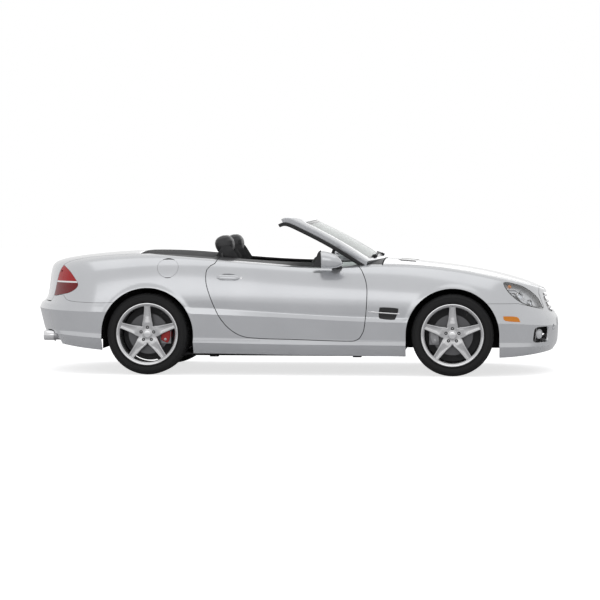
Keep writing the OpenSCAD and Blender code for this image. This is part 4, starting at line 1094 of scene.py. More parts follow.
# ---- Wheel housings ----------------------------------------------------------------------------
def housing(x, outer):
    """The dark tunnel over a wheel, with walls down to the sill and an inner wall."""
    turns = np.linspace(0, math.pi, 49)
    arc = [(x + 0.389 * math.cos(a), WHEEL_R + 0.389 * math.sin(a)) for a in turns]
    line = [(x + 0.389, 0.215)] + arc + [(x - 0.389, 0.215)]
    wall = loft([[(px, y, pz) for px, pz in line] for y in (-outer, -outer + 0.10, -0.62, -0.452)],
                closed=False)
    bmesh.ops.solidify(wall, geom=wall.faces[:], thickness=0.003)
    inner = prism([(1000 * px, 1000 * pz) for px, pz in line], -0.453, -0.449)
    bm = joined(wall, copied(inner))
    drop(inner)
    return smooth(put("housing", bm, UNDERSIDE), 40)


LINER = grained_black("liner_felt", (0.008, 0.008, 0.0085), 0.9, 120.0, 0.3)
for end, x, outer in (("front", FRONT_AXLE, 0.786), ("rear", REAR_AXLE, 0.780)):
    made = housing(x, outer)
    made.data.materials[0] = LINER
    for side, sign in SIDES:
        lining = stamp(made, f"wheel_housing_{end}_{side}", (0, 0, 0), sign > 0)
        fit(lining, "body", "black_plastic")
        if end == "front" and side == "right":
            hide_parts("wheel_liners")
    drop(made)

# ---- Windscreen ---------------------------------------------------------------------------------
def screen_slab(a_steps, q_steps, low, high):
    """A slab over the curve of the windscreen."""
    bm = loft([[screen_point(a, q, high) for q in q_steps] for a in a_steps], closed=False)
    if sum(f.normal.z for f in bm.faces) < 0:
        bmesh.ops.reverse_faces(bm, faces=bm.faces)
    bmesh.ops.solidify(bm, geom=bm.faces[:], thickness=(high - low) * MM)
    return bm


A_FRAME = [-0.02, 0.0, 0.02, 0.1, 0.2, 0.3, 0.4, 0.5, 0.6, 0.7, 0.8, 0.88, 0.94, 0.97, 1.0, 1.03, 1.06, 1.09,
           1.12, 1.15, 1.18, 1.21, 1.24, 1.26]


def frame_slab(low, high, reach, end):
    """The whole surround as one slab: the foot, the header and both pillars, with the opening left out."""
    outer = [reach * q / 1.06 for q in (1.0, 1.03, 1.06)]
    full = [-q for q in reversed(outer)] + [-0.96] + list(np.linspace(-0.9, 0.9, 19)) + [0.96] + outer
    rows = [0.02, 0.1, 0.2, 0.3, 0.4, 0.5, 0.6, 0.7, 0.8, 0.88, 0.94]
    head = [a for a in A_FRAME if 0.94 <= a < end] + [end]
    strips = [([-0.02, 0.0, 0.02], full), (head, full), (rows, [0.9, 0.96] + outer),
              (rows, [-q for q in reversed(outer)] + [-0.96, -0.9])]
    bm = gathered([loft([[screen_point(a, q, high) for q in q_steps] for a in a_steps], closed=False)
                   for a_steps, q_steps in strips])
    bmesh.ops.remove_doubles(bm, verts=bm.verts, dist=1e-5)
    bmesh.ops.recalc_face_normals(bm, faces=bm.faces)
    if sum(f.normal.z for f in bm.faces) < 0:
        bmesh.ops.reverse_faces(bm, faces=bm.faces)
    bmesh.ops.solidify(bm, geom=bm.faces[:], thickness=(high - low) * MM)
    return bevelled(bm, 0.004, 3)


surround = smooth(put("windscreen_surround", frame_slab(-40, 8, 1.055, 1.24), PAINT), 40)
fit(surround, "body", "silver_paint", "windscreen_frame")
seal = smooth(put("windscreen_seal", frame_slab(-68, -39.5, 1.06, 1.245), RUBBER_SEAL), 40)
fit(seal, "body", "black_plastic")
glass = put("windscreen_pane", screen_slab(list(np.linspace(0.0205, 0.9395, 25)),
                                           list(np.linspace(-0.8995, 0.8995, 25)), -5.5, 0), GLASS)
fit(smooth(glass), "body", "clear_glass", "windscreen_glass")
q_band = list(np.linspace(-0.898, 0.898, 25))
band_rows = [put("band", screen_slab(list(rows), q_band, 0.2, 1.2), GLOSS_BLACK)
             for rows in (np.linspace(0.0225, 0.075, 4), np.linspace(0.90, 0.938, 4))]
bm = joined(*[copied(b) for b in band_rows])
drop(*band_rows)
for q0, q1 in ((-0.898, -0.866), (0.866, 0.898)):
    bm = joined(bm, screen_slab(list(np.linspace(0.0225, 0.938, 20)), [q0, q1], 0.2, 1.2))
fit(smooth(put("windscreen_band", bm, GLOSS_BLACK)), "body", "black_plastic")
COWL_FRONT = [(655, 0), (655, 701), (765, 708), (765, 0)]
cowl = carved("cowl_panel", shell, [(plan_tool(COWL_FRONT, 0.85), "INTERSECT")], BLACK)
fair(cowl)
fit(cowl, "body", "black_plastic")


def wiper(y):
    """An arm, its spindle cap and its blade, lying on the glass."""
    pivot, tip = Vector(screen_point(0.035, y / 700, 17)), Vector(screen_point(0.088, (y + 300) / 700, 19))
    ends = [Vector(screen_point(0.062 + 0.034 * t, (y - 40 + 600 * t) / 700, 9)) for t in np.linspace(0, 1, 9)]
    blade = [rod(a, b, 0.0055, 8) for a, b in zip(ends, ends[1:])]
    up = Vector((0.47, 0, 0.88))
    return joined(rod(pivot - up * 0.014, pivot + up * 0.008, 0.014, 24, round_by=0.003),
                  rod(pivot, tip, 0.008, 12, 0.0045), *blade)


fit(smooth(put("wiper_arms", joined(wiper(-420), wiper(140)), BLACK)), "body", "black_plastic", "wipers")

# ---- Lamps, grille and side trim ----------------------------------------------------------------
def local_shell(s_low, s_high, v_low, v_high, inset, thickness, columns=60, rows=60):
    """A closed slab under the right-hand body surface."""
    bm = patch(list(np.linspace(v_low, v_high, rows)), list(np.linspace(s_low, s_high, columns)), inset)
    bmesh.ops.remove_doubles(bm, verts=bm.verts, dist=1e-6)
    bmesh.ops.recalc_face_normals(bm, faces=bm.faces)
    if sum(f.normal.y for f in bm.faces) > 0:
        bmesh.ops.reverse_faces(bm, faces=bm.faces)
    bmesh.ops.solidify(bm, geom=bm.faces[:], thickness=thickness)
    return put("local", bm, PAINT)


def lens_slice(name, z0, z1, material):
    """The part of the tail lamp between two heights."""
    band = prism([(-2500, z0), (-1500, z0), (-1500, z1), (-2500, z1)], -1.3, 1.3)
    return carved(name, shell, [(right_block(TAIL_LAMP, 0.3), "INTERSECT"),
                                (plan_tool(LID, 0.5, LID_GAP + 1), "DIFFERENCE"), (band, "INTERSECT")],
                  material)


for name, z0, z1, material, slot in (("tail_lens_upper", 778, 1200, RED, "red_lamp"),
                                     ("tail_lens_lower", 500, 764, DARK_RED, "red_lamp"),
                                     ("tail_lamp_strip", 764.5, 777.5, BRIGHT, "silver_alloy")):
    two_sides(name, lambda: lens_slice(name, z0, z1, material), "body", [], slot)
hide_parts("tail_lamps")


def laid_in(name, slab, inside, outside, material, slot):
    """A piece on each side that follows the body surface, inside one outline and outside another."""
    base = local_shell(*slab)

    def build():
        cuts = [(right_block(inside, 0.3), "INTERSECT")]
        if outside:
            cuts.append((right_block(outside, 0.3), "DIFFERENCE"))
        return carved(name, base, cuts, material)

    two_sides(name, build, "body", [], slot)
    drop(base)


REFLECTOR = metal("lamp_reflector", (0.74, 0.75, 0.77), 0.22, (1, 1, 1), 0.01, 0.35)
laid_in("headlamp_cover", (0.05, 1.15, 2, TOP_ROW, 0.0, 0.0025, 160, 90), HEADLAMP, None, LAMP_GLASS,
        "clear_glass")
laid_in("headlamp_rim", (0.05, 1.15, 2, TOP_ROW, 3.0, 0.055, 70, 50), HEADLAMP, grown(HEADLAMP, -5),
        GLOSS_BLACK, "black_plastic")
laid_in("headlamp_bowl", (0.05, 1.15, 2, TOP_ROW, 30.0, 0.004, 70, 50), HEADLAMP, None, REFLECTOR, "lamp_glass")


def turned_to(bm, at, direction):
    """Moves a piece that was spun round the Y axis and faces -Y, so that it faces a direction."""
    turn = (-Vector(direction)).to_track_quat("Y", "Z").to_matrix().to_4x4()
    bmesh.ops.transform(bm, matrix=Matrix.Translation(at) @ turn, verts=bm.verts)
    return bm


def lamp_unit(r):
    """A projector lamp: bright ring, dark throat and glass ball."""
    ring = spun([(r, -0.010), (r * 1.02, -0.006), (r * 1.02, 0.012), (r * 0.86, 0.012), (r * 0.84, -0.004),
                 (r * 0.9, -0.011)], 48)
    throat = spun([(r * 0.86, -0.002), (r * 0.55, 0.006), (r * 0.55, 0.014), (r * 0.86, 0.014)], 48)
    ball = spun([(0.0, -0.0095), (r * 0.2, -0.0085), (r * 0.38, -0.005), (r * 0.5, 0.0005), (r * 0.55, 0.008),
                 (0.0, 0.008)], 48)
    return joined((ring, 0), (throat, 1), (ball, 2))


def headlamp_inside():
    parts = []
    for x, z, r in ((1.925, 0.664, 0.047), (2.012, 0.606, 0.034)):
        at, normal = skin_at(x, z)
        parts.append(turned_to(lamp_unit(r), at - normal * 0.024,
                               (normal + Vector((0.5, 0, 0.05))).normalized()))
    for x0, x1, z in ((1.800, 1.905, 0.732), (1.815, 1.890, 0.708), (1.835, 1.880, 0.686)):
        a, na = skin_at(x0, z)
        b, nb = skin_at(x1, z - 0.012)
        parts.append(rod(a - na * 0.022, b - nb * 0.022, 0.0055, 10))
    thing = put("headlamp_inside", gathered(parts), [BRIGHT, GLOSS_BLACK, LENS_BALL], normals=False)
    return smooth(thing, 40)


LENS_BALL = clear("lens_ball", (0.9, 0.93, 0.96), 0.02, 1.45)
inside = headlamp_inside()
fit(stamp(inside, "headlamp_units_right"), "body", "lamp_glass", "headlamps")
fit(stamp(inside, "headlamp_units_left", (0, 0, 0), True), "body", "lamp_glass")
at, normal = skin_at(1.835, 0.757)
pod = turned_to(spun([(0.0, -0.004), (0.011, -0.003), (0.015, 0.002), (0.015, 0.01), (0.0, 0.01)], 24),
                at - normal * 0.02, normal)
amber = put("amber", pod, AMBER)
smooth(amber, 40)
for side, sign in SIDES:
    fit(stamp(amber, f"indicator_bulb_{side}", (0, 0, 0), sign > 0), "body", "lamp_glass")
drop(inside, amber)

MARKER = [(1773, 493), (1792, 462), (1905, 450), (1910, 455), (1884, 492), (1780, 499)]
GRID = grained_black("vent_mesh", (0.010, 0.010, 0.011), 0.4, 120.0, 1.0)
laid_in("side_marker", (0.3, 1.0, 3, 17, -1.5, 0.004, 120, 60), rounded(MARKER, 4), None, AMBER, "lamp_glass")
laid_in("vent_mesh", (1.1, 1.4, 7, 17, 16.0, 0.006), grown(VENT, 14), None, GRID, "black_plastic")
laid_in("vent_edge", (1.1, 1.4, 7, 17, 11.5, 0.010), grown(VENT, 10), VENT, GLOSS_BLACK, "black_plastic")


def fin():
    """The bright bar along the vent, on the skin at its ends."""
    rings = []
    for t in np.linspace(0, 1, 25):
        x, z = (660 + 262 * t) * MM, (534 - 17 * t) * MM
        at, normal = skin_at(x, z)
        up = normal.cross(Vector((1, 0, 0))).normalized()
        if up.z < 0:
            up = -up
        tall = 0.0065 * min(1.0, 0.35 + 5 * t, 0.35 + 9 * (1 - t))
        out = 0.0015 + 0.004 * math.sin(math.pi * t) ** 0.5
        shape = [(-1, -0.004), (-1, 0.0), (-0.6, 0.8), (0, 1.0), (0.6, 0.8), (1, 0.0), (1, -0.004)]
        rings.append([at + up * tall * u + normal * (out * max(w, 0) if w >= 0 else w) for u, w in shape])
    return smooth(put("side_fin", loft(rings), BRIGHT), 50)


two = fin()
for side, sign in SIDES:
    fit(stamp(two, f"side_fin_{side}", (0, 0, 0), sign > 0), "body", "silver_alloy")
drop(two)

# Front grille: a dark mesh, three bars and a surround, with no badge.
nose_slab = mirrored(patch(list(np.linspace(4, 21.5, 60)), list(np.linspace(0, 0.5, 50)), 26.0))
bmesh.ops.recalc_face_normals(nose_slab, faces=nose_slab.faces)
if sum(f.normal.x for f in nose_slab.faces) < 0:
    bmesh.ops.reverse_faces(nose_slab, faces=nose_slab.faces)
bmesh.ops.solidify(nose_slab, geom=nose_slab.faces[:], thickness=0.006)
nose_back = put("nose_back", nose_slab, GRID)
grille = carved("grille_mesh", nose_back, [(ahead_block(GRILLE_BACK, 1.8, 2.4), "INTERSECT")], GRID)
drop(nose_back)
fit(grille, "body", "black_plastic", "grille")


def nose_bar(z, y_end, tall, deep, sunk, count=31, bend=0.0):
    rings = []
    for t in np.linspace(-1, 1, count):
        y = y_end * t
        zz = (z + bend * t * t) * MM
        at, normal = nose_at(y * MM, zz)
        normal = Vector((normal.x, normal.y, 0)).normalized()
        at = at - normal * sunk * MM
        shape = [(-0.5, 0.0), (-0.4, 0.8), (0, 1.0), (0.4, 0.8), (0.5, 0.0), (0.3, -1.0), (-0.3, -1.0)]
        rings.append([at + Vector((0, 0, u * tall * MM)) + normal * (w * deep * MM) for u, w in shape])
    return loft(rings)


bars = joined(*[nose_bar(z, 358, 15, 9, 14, bend=4) for z in (548, 598, 648)])
fit(smooth(put("grille_bars", bars, BRIGHT), 45), "body", "silver_alloy")
rings = []
for y, z in GRILLE + GRILLE[:1]:
    at, normal = nose_at(y * MM, z * MM)
    to_middle = Vector((0, -y, 598 - z)).normalized() * 0.007
    rings.append([at + to_middle * u + normal * w
                  for u, w in ((-0.4, 0.0), (-0.3, 0.0022), (0.5, 0.003), (1.0, 0.0), (1.0, -0.012),
                               (-0.4, -0.012))])
ringed = loft(rings, closed=True, caps=False)
bmesh.ops.remove_doubles(ringed, verts=ringed.verts, dist=1e-5)
fit(smooth(put("grille_surround", ringed, BRIGHT), 45), "body", "silver_alloy")

# Fog lamps in their openings.
fog = spun([(0.0, -0.010), (0.018, -0.009), (0.030, -0.005), (0.034, 0.0), (0.034, 0.02), (0.0, 0.02)], 48)
fog_ring = spun([(0.033, -0.004), (0.039, -0.004), (0.041, 0.002), (0.041, 0.02), (0.033, 0.02)], 48)
at, normal = nose_at(-0.585, 0.338)
unit = turned_to(joined((fog, 0), (fog_ring, 1)), at - normal * 0.034, Vector((0.75, -0.66, 0)))
rings = []
for z in np.linspace(0.276, 0.398, 15):
    p, nn = nose_at(-0.664 - 0.02 * (z - 0.337), z)
    rings.append([p - nn * 0.002 + Vector((u * 0.010 * 0.3, -u * 0.010, 0)) - nn * w
                  for u, w in ((-1, 0.004), (-0.7, 0), (0.7, 0), (1, 0.004), (0.8, 0.02), (-0.8, 0.02))])
strut = loft(rings)
backs = mirrored(patch(list(np.linspace(2, 16, 50)), list(np.linspace(0.05, 0.8, 60)), 60.0))
bmesh.ops.solidify(backs, geom=backs.faces[:], thickness=0.005)
back_slab = put("back_slab", backs, BLACK)
lamp_thing = smooth(put("fog", joined((unit, 0), (strut, 2)), [REFLECTOR, BLACK, ALLOY], normals=False), 40)
for side, sign in SIDES:
    fit(stamp(lamp_thing, f"fog_lamp_{side}", (0, 0, 0), sign > 0), "body", "lamp_glass")
    cover = carved(f"fog_back_{side}", back_slab,
                   [(ahead_block(oval(600 * sign, 336, 122, 80, 40, 3.5), 1.7, 2.4), "INTERSECT")], BLACK)
    fit(cover, "body", "black_plastic")
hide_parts("fog_lamps")
drop(lamp_thing, back_slab)

# ---- Fuel flap, deck, mirrors, handles and tips -------------------------------------------------
FLAP_AT, FLAP_OUT = Vector((-1.015, -0.848, 0.896)), Vector((0, -math.sin(math.radians(62)),
                                                             math.cos(math.radians(62))))


def flap_tool(r):
    return put("tool", rod(FLAP_AT - FLAP_OUT * 0.1, FLAP_AT + FLAP_OUT * 0.1, r, 64), PAINT)


flap = carved("fuel_flap_skin", shell, [(flap_tool(0.0868), "INTERSECT")], PAINT)
fair(flap)
fit(flap, "fuel_flap_body", "silver_paint", "fuel_flap")
rq = bpy.data.objects["rear_quarter_skin_right"]
for tool in (flap_tool(0.0885),):
    cut = rq.modifiers.new("cut", "BOOLEAN")
    cut.object, cut.operation, cut.solver = tool, "DIFFERENCE", "MANIFOLD"
    applied(rq)
    fair(rq)
    drop(tool)
well = turned_to(spun([(0.0, 0.038), (0.082, 0.038), (0.0885, 0.034), (0.0885, 0.012), (0.0925, 0.012),
                       (0.0925, 0.042), (0.0, 0.042)], 48),
                 FLAP_AT + FLAP_OUT * 0.0, FLAP_OUT)
cap = turned_to(spun([(0.0, 0.012), (0.030, 0.012), (0.034, 0.016), (0.034, 0.038), (0.0, 0.038)], 36), FLAP_AT,
                FLAP_OUT)
grip = turned_to(block((-0.026, 0.003, -0.005), (0.026, 0.014, 0.005), 0.002), FLAP_AT, FLAP_OUT)
fit(smooth(put("filler_well", joined((well, 0), (cap, 1), (grip, 1)), [GLOSS_BLACK, BLACK], normals=False), 40),
    "body", "black_plastic")

DECK_BLACK = grained_black("deck_black", (0.012, 0.012, 0.013), 0.75, 260.0, 0.4)
deck = carved("deck_cover", shell,
              [(plan_tool([(-1260, 0), (-1260, 652), (-1000, 652), (-652, 652), (-652, 0)], 0.7), "INTERSECT")],
              DECK_BLACK)
fair(deck)
fit(deck, "body", "black_leather", "rear_deck")


def mirror_shell():
    """A teardrop housing with its glass on the rear face, on a short foot that is black as painted shade under the
    housing.
    """
    c = Vector((0.352, -0.925, 0.957))
    rings = []
    for x, half_y, half_z, drop_z in ((-0.084, 0.086, 0.066, 0.004), (-0.080, 0.091, 0.071, 0.004),
                                      (-0.070, 0.0945, 0.0745, 0.003), (-0.040, 0.096, 0.0745, 0.001),
                                      (0.0, 0.092, 0.0690, -0.003), (0.035, 0.082, 0.0590, -0.008),
                                      (0.062, 0.065, 0.0450, -0.013), (0.080, 0.044, 0.0290, -0.018),
                                      (0.0895, 0.020, 0.0130, -0.022), (0.0910, 0.004, 0.0030, -0.0235)):
        ring = []
        for a in around(48):
            cy, cz = math.cos(a), math.sin(a)
            wide = half_y * bent(cy, 0.8)
            tall = half_z * bent(cz, 0.84) * (0.9 if cz < 0 else 1.0)
            ring.append(c + Vector((x - 0.010 * cy, wide, tall + drop_z)))
        rings.append(ring)
    cup = loft(rings)
    glass = loft([[c + Vector((-0.0855 - 0.010 * math.cos(a), 0.080 * bent(math.cos(a), 0.8),
                               0.060 * bent(math.sin(a), 0.84) + 0.004)) - Vector((d, 0, 0))
                   for a in around(48)] for d in (0.0, 0.002)])
    rim = loft([[c + Vector((-0.0835 - d - 0.010 * math.cos(a), (0.0845 + e) * bent(math.cos(a), 0.8),
                             (0.0645 + e) * bent(math.sin(a), 0.84) + 0.004))
                 for a in around(48)] for d, e in ((0.0, 0.002), (0.0045, 0.0), (0.0045, -0.003),
                                                   (0.0, -0.004))])
    # The foot takes the black finish: painted shade under the mirror housing.
    foot = loft([[p + Vector((0.030 * wx * math.cos(a), 0, 0.020 * wz * math.sin(a))) for a in around(24)]
                 for p, wx, wz in ((Vector((0.398, -0.775, 0.893)), 1.5, 0.9),
                                   (Vector((0.392, -0.815, 0.906)), 1.35, 0.85),
                                   (Vector((0.384, -0.845, 0.916)), 1.2, 0.85),
                                   (Vector((0.375, -0.880, 0.930)), 1.1, 0.9))])
    return smooth(put("mirror", joined((cup, 0), (glass, 1), (rim, 2), (foot, 2)), [PAINT, MIRROR, BLACK],
                      normals=False), 45)


made = mirror_shell()
for side, sign in SIDES:
    fit(stamp(made, f"door_mirror_{side}", (0, 0, 0), sign > 0), f"door_{side}_body", "silver_paint",
        f"mirror_{side}")
drop(made)


def handle():
    """A pull bar that springs from the door at both ends."""
    rings = []
    for t in np.linspace(0, 1, 29):
        x, z = -0.606 + 0.196 * t, 0.814 - 0.004 * t
        at, normal = skin_at(x, z)
        arch = math.sin(math.pi * t) ** 0.45
        fat = 0.30 + 0.70 * min(1, 6 * t, 6 * (1 - t))
        centre = at + normal * (0.020 * arch - 0.004)
        up = normal.cross(Vector((1, 0, 0))).normalized()
        up = up if up.z > 0 else -up
        rings.append([centre + up * 0.0205 * fat * math.cos(a) + normal * 0.0075 * fat * math.sin(a)
                      for a in around(24)])
    lock_at, lock_n = skin_at(-0.398, 0.812)
    lock = turned_to(spun([(0.0, -0.002), (0.009, -0.0015), (0.010, 0.001), (0.010, 0.006), (0.0, 0.006)], 24),
                     lock_at, lock_n)
    return smooth(put("handle", joined((loft(rings), 0), (lock, 1)), [PAINT, BRIGHT], normals=False), 45)


made = handle()
for side, sign in SIDES:
    fit(stamp(made, f"pull_handle_{side}", (0, 0, 0), sign > 0), f"door_{side}_body", "silver_paint",
        f"door_handle_{side}")
drop(made)


def tail_pipe(y):
    tip = spun([(0.0375, 0.0), (0.0405, -0.002), (0.0420, 0.002), (0.0418, 0.085), (0.0385, 0.085),
                (0.0385, 0.004)], 64)
    # A gloss black disc closes each tip 58 mm in: painted shade of the pipe's bore.
    dark = spun([(0.0, 0.058), (0.0384, 0.058), (0.0384, 0.064), (0.0, 0.064)], 48)
    bm = joined((tip, 0), (dark, 1))
    bmesh.ops.transform(bm, matrix=Matrix.Translation((-2.110, y, 0.312))
                        @ Matrix.Rotation(math.radians(-90), 4, "Z"), verts=bm.verts)
    return bm


bm = gathered([tail_pipe(y) for y in (-0.586, -0.494, 0.494, 0.586)])
fit(smooth(put("exhaust_trims", bm, [BRIGHT, GLOSS_BLACK], normals=False), 40), "body", "exhaust_steel")
bm = bmesh.new()
bm.from_mesh(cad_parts["exhaust"].data)
bmesh.ops.transform(bm, matrix=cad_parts["exhaust"].matrix_world, verts=bm.verts)
bmesh.ops.bisect_plane(bm, geom=bm.verts[:] + bm.edges[:] + bm.faces[:], plane_co=(-2.095, 0, 0),
                       plane_no=(-1, 0, 0), clear_outer=True)
bmesh.ops.holes_fill(bm, edges=[e for e in bm.edges if e.is_boundary], sides=0)
fit(smooth(put("exhaust_run", bm, [STEEL], normals=False), 40), "body", "exhaust_steel", "exhaust")

# ---- Inner doors and side walls ------------------------------------------------------------------
def right_slab(s_low, s_high, inset, thickness):
    return local_shell(s_low, s_high, 1, TOP_ROW, inset, thickness, 70, 90)


def inner_door():
    base = right_slab(1.24, 1.72, 12.6, 0.085)
    thing = carved("door_card", base, [(right_block(grown(DOOR, -21), 0.70), "INTERSECT")], PAINT)
    drop(base)
    return thing


def two_toned(thing, inner_y):
    thing.data.materials.clear()
    thing.data.materials.append(PAINT)
    thing.data.materials.append(BLACK_LEATHER)
    for face in thing.data.polygons:
        face.material_index = 1 if abs(face.center.y) < inner_y or face.normal.z > 0.35 and face.center.z > 0.8 else 0


right, left = two_sides("door_card", inner_door, "door_SIDE_body", [], "black_leather")
for thing in (right, left):
    two_toned(thing, 0.795)


def inner_quarter():
    base = right_slab(1.58, 2.5, 12.6, 0.040)
    thing = carved("side_wall", base, [
        (right_block([(-2400, 289), (-246, 289), (-246, 420), (-520, 480), (-560, 1200), (-2400, 1200)], 0.3),
         "INTERSECT"),
        (right_block(grown(DOOR, GAP + 2)), "DIFFERENCE"), (right_block(grown(TAIL_LAMP, 4)), "DIFFERENCE"),
        (plan_tool(LID, 0.5, LID_GAP + 1), "DIFFERENCE"), (plan_tool(DECK, 0.5, 2), "DIFFERENCE"),
        (arch_tool(REAR_AXLE, 0.392), "DIFFERENCE"), (flap_tool(0.0935), "DIFFERENCE"),
        (right_block(grown(REAR_BUMPER, 4)), "DIFFERENCE")], PAINT)
    drop(base)
    return thing


right, left = two_sides("side_wall", inner_quarter, "body", [], "black_leather")
for thing in (right, left):
    two_toned(thing, 0.80)


def door_trim():
    """Armrest, pull, speaker and bright strip of the door card."""
    rest = block((-0.42, -0.716, 0.610), (0.22, -0.640, 0.672), 0.014, 3)
    pocket = block((-0.36, -0.712, 0.335), (0.30, -0.664, 0.440), 0.012, 3)
    strip = block((-0.50, -0.706, 0.742), (0.40, -0.697, 0.764), 0.003, 2)
    pull = block((0.02, -0.668, 0.690), (0.18, -0.646, 0.706), 0.006, 3)
    posts = [block((x, -0.703, 0.692), (x + 0.016, -0.655, 0.704), 0.003) for x in (0.026, 0.158)]
    speaker = turned_to(spun([(0.0, -0.004), (0.06, -0.003), (0.075, -0.007), (0.082, -0.002), (0.082, 0.006),
                              (0.0, 0.006)], 48),
                        Vector((0.36, -0.700, 0.470)), Vector((0, 1, 0)))
    return smooth(put("trim", joined((rest, 0), (pocket, 0), (strip, 1), (pull, 1), *[(q, 1) for q in posts],
                                     (speaker, 2)),
                      [BLACK_LEATHER, STEEL, GRID], normals=False), 45)


made = door_trim()
for side, sign in SIDES:
    fit(stamp(made, f"door_armrest_{side}", (0, 0, 0), sign > 0), f"door_{side}_body", "black_leather")
drop(made)

# The black fin on each door, behind the mirror.
fin_piece = prism(rounded([(196, 905), (214, 948), (236, 1012), (252, 1034), (268, 1030), (270, 905)], 6,
                          (0, 5)), -0.862, -0.850)
fin_piece.data.materials.clear()
fin_piece.data.materials.append(BLACK)
for side, sign in SIDES:
    fit(stamp(fin_piece, f"mirror_fin_{side}", (0, 0, 0), sign > 0), f"door_{side}_body", "black_plastic")
drop(fin_piece)

# ---- Louvres in the hood ------------------------------------------------------------------------
slots = []
for k, y in enumerate((-0.300, -0.345, -0.390)):
    ends = [Vector((x, y - 0.006 * k, 0)) for x in (0.885 + 0.012 * k, 1.030 + 0.004 * k)]
    rings = []
    for t in np.linspace(0, 1, 13):
        p = ends[0].lerp(ends[1], t)
        hit = skin_tree.ray_cast(Vector((p.x, p.y, 1.6)), Vector((0, 0, -1)))
        wide = 0.011 * min(1, 0.2 + 6 * t, 0.2 + 6 * (1 - t))
        rings.append([hit[0] + Vector((0, wide * u, w)) for u, w in
                      ((-1, 0.0006), (-0.7, 0.0024), (0.2, 0.0030), (1, 0.0012), (1, -0.004), (-1, -0.004))])
    slots.append(loft(rings))
made = smooth(put("louvre", joined(*slots), GLOSS_BLACK), 50)
for side, sign in SIDES:
    fit(stamp(made, f"hood_louvres_{side}", (0, 0, 0), sign > 0), "hood_body", "black_plastic")
drop(made)

# ---- Seats --------------------------------------------------------------------------------------
def swelled(thing, cap, pressure=4.0, frames=20):
    """Puffs a closed pad up with a cloth simulation, and caps how far each point may move."""
    start = np.array([v.co for v in thing.data.vertices])
    cloth = thing.modifiers.new("swell", "CLOTH")
    cloth.settings.use_pressure = True
    cloth.settings.uniform_pressure_force = pressure
    cloth.settings.effector_weights.gravity = 0
    cloth.settings.quality = 4
    cloth.settings.tension_stiffness = 25
    cloth.settings.compression_stiffness = 25
    cloth.settings.bending_stiffness = 4
    cloth.point_cache.frame_start = 1
    cloth.point_cache.frame_end = frames
    for number in range(1, frames + 1):
        bpy.context.scene.frame_set(number)
    applied(thing)
    bpy.context.scene.frame_set(1)
    end = np.array([v.co for v in thing.data.vertices])
    move = end - start
    far = np.linalg.norm(move, axis=1, keepdims=True)
    end = start + move * np.minimum(1, cap / np.maximum(far, 1e-9))
    thing.data.vertices.foreach_set("co", end.ravel())
    thing.data.update()
    return thing


def pad(name, path, bolster, voxel=0.006, cap=0.010):
    """A stuffed form: rings of (centre x, centre z, half width, half thickness, lean) along a path."""
    rings = []
    for x, z, wide, thick, lean in path:
        along = Vector((math.cos(lean), 0, math.sin(lean)))
        out = Vector((-along.z, 0, along.x))
        ring = []
        for a in around(48):
            c, k = math.cos(a), math.sin(a)
            y = wide * bent(c, 0.55)
            t = thick * bent(k, 0.62)
            if k > 0:
                edge = max(0.0, (abs(y) / max(wide, 1e-4) - 0.55) / 0.45)
                t += bolster * math.sin(math.pi * min(1.0, edge)) * k * min(1, thick / 0.03)
            ring.append(Vector((x, y, z)) + out * t)
        rings.append(ring)
    thing = put(name, loft(rings), BLACK_LEATHER)
    mesh = thing.modifiers.new("even", "REMESH")
    mesh.mode = "VOXEL"
    mesh.voxel_size = voxel
    applied(thing)
    return swelled(thing, cap)


def channelled(thing, grooves, depth=0.0035):
    """Presses sewn channels into a pad. A groove is a function of a point that gives its distance from the seam."""
    mesh = thing.data
    co = np.array([v.co for v in mesh.vertices])
    normal = np.array([v.normal for v in mesh.vertices])
    for groove, where in grooves:
        away = np.abs(groove(co))
        share = np.exp(-(away / 0.0045) ** 2) * where(co, normal)
        co = co - normal * (depth * share)[:, None]
    mesh.vertices.foreach_set("co", co.ravel())
    mesh.update()
    fine = thing.modifiers.new("fine", "SUBSURF")
    fine.levels = fine.render_levels = 1
    applied(thing)
    thing.data.shade_smooth()
    return thing


up_side = lambda co, n: np.clip(n[:, 2] * 1.6, 0, 1)
front_side = lambda co, n: np.clip(n[:, 0] * 1.8, 0, 1)
cushion = pad("cushion", [(-0.486, 0.372, 0.150, 0.020, 0.0), (-0.480, 0.372, 0.205, 0.045, 0.0),
                          (-0.455, 0.374, 0.225, 0.062, 0.0), (-0.380, 0.374, 0.232, 0.064, 0.02),
                          (-0.260, 0.376, 0.235, 0.063, 0.03), (-0.140, 0.380, 0.236, 0.062, 0.04),
                          (-0.060, 0.384, 0.232, 0.060, 0.0), (-0.020, 0.376, 0.222, 0.052, -0.3),
                          (0.000, 0.362, 0.200, 0.034, -0.6), (0.006, 0.352, 0.150, 0.014, -0.8)], 0.026)
channelled(cushion, [(lambda co: np.abs(co[:, 1]) - 0.150, up_side)]
           + [(lambda co, x=x: co[:, 0] - x, lambda co, n: up_side(co, n) * (np.abs(co[:, 1]) < 0.148))
              for x in (-0.36, -0.28, -0.20, -0.12)])
back_path = []
for t in np.linspace(0, 1, 15):
    x = -0.452 - 0.090 * t - 0.020 * t * t
    z = 0.452 + 0.520 * t
    ends = min(1.0, 0.45 + 9 * t, 0.45 + 7 * (1 - t))
    wide = (0.226 - 0.028 * t - 0.03 * max(0, t - 0.7)) * (0.75 + 0.25 * ends)
    back_path.append((x, z, wide, 0.050 * ends, math.radians(100)))
back = pad("back", back_path, 0.0)
co = np.array([v.co for v in back.data.vertices])
wing = np.clip((np.abs(co[:, 1]) - 0.12) / 0.09, 0, 1)
rise = np.clip((co[:, 2] - 0.46) / 0.1, 0, 1) * np.clip((0.93 - co[:, 2]) / 0.2, 0, 1)
front = np.clip((co[:, 0] - (-0.452 - 0.18 * (co[:, 2] - 0.452))) / 0.03, 0, 1)
co[:, 0] += 0.038 * wing * rise * front
back.data.vertices.foreach_set("co", co.ravel())
back.data.update()
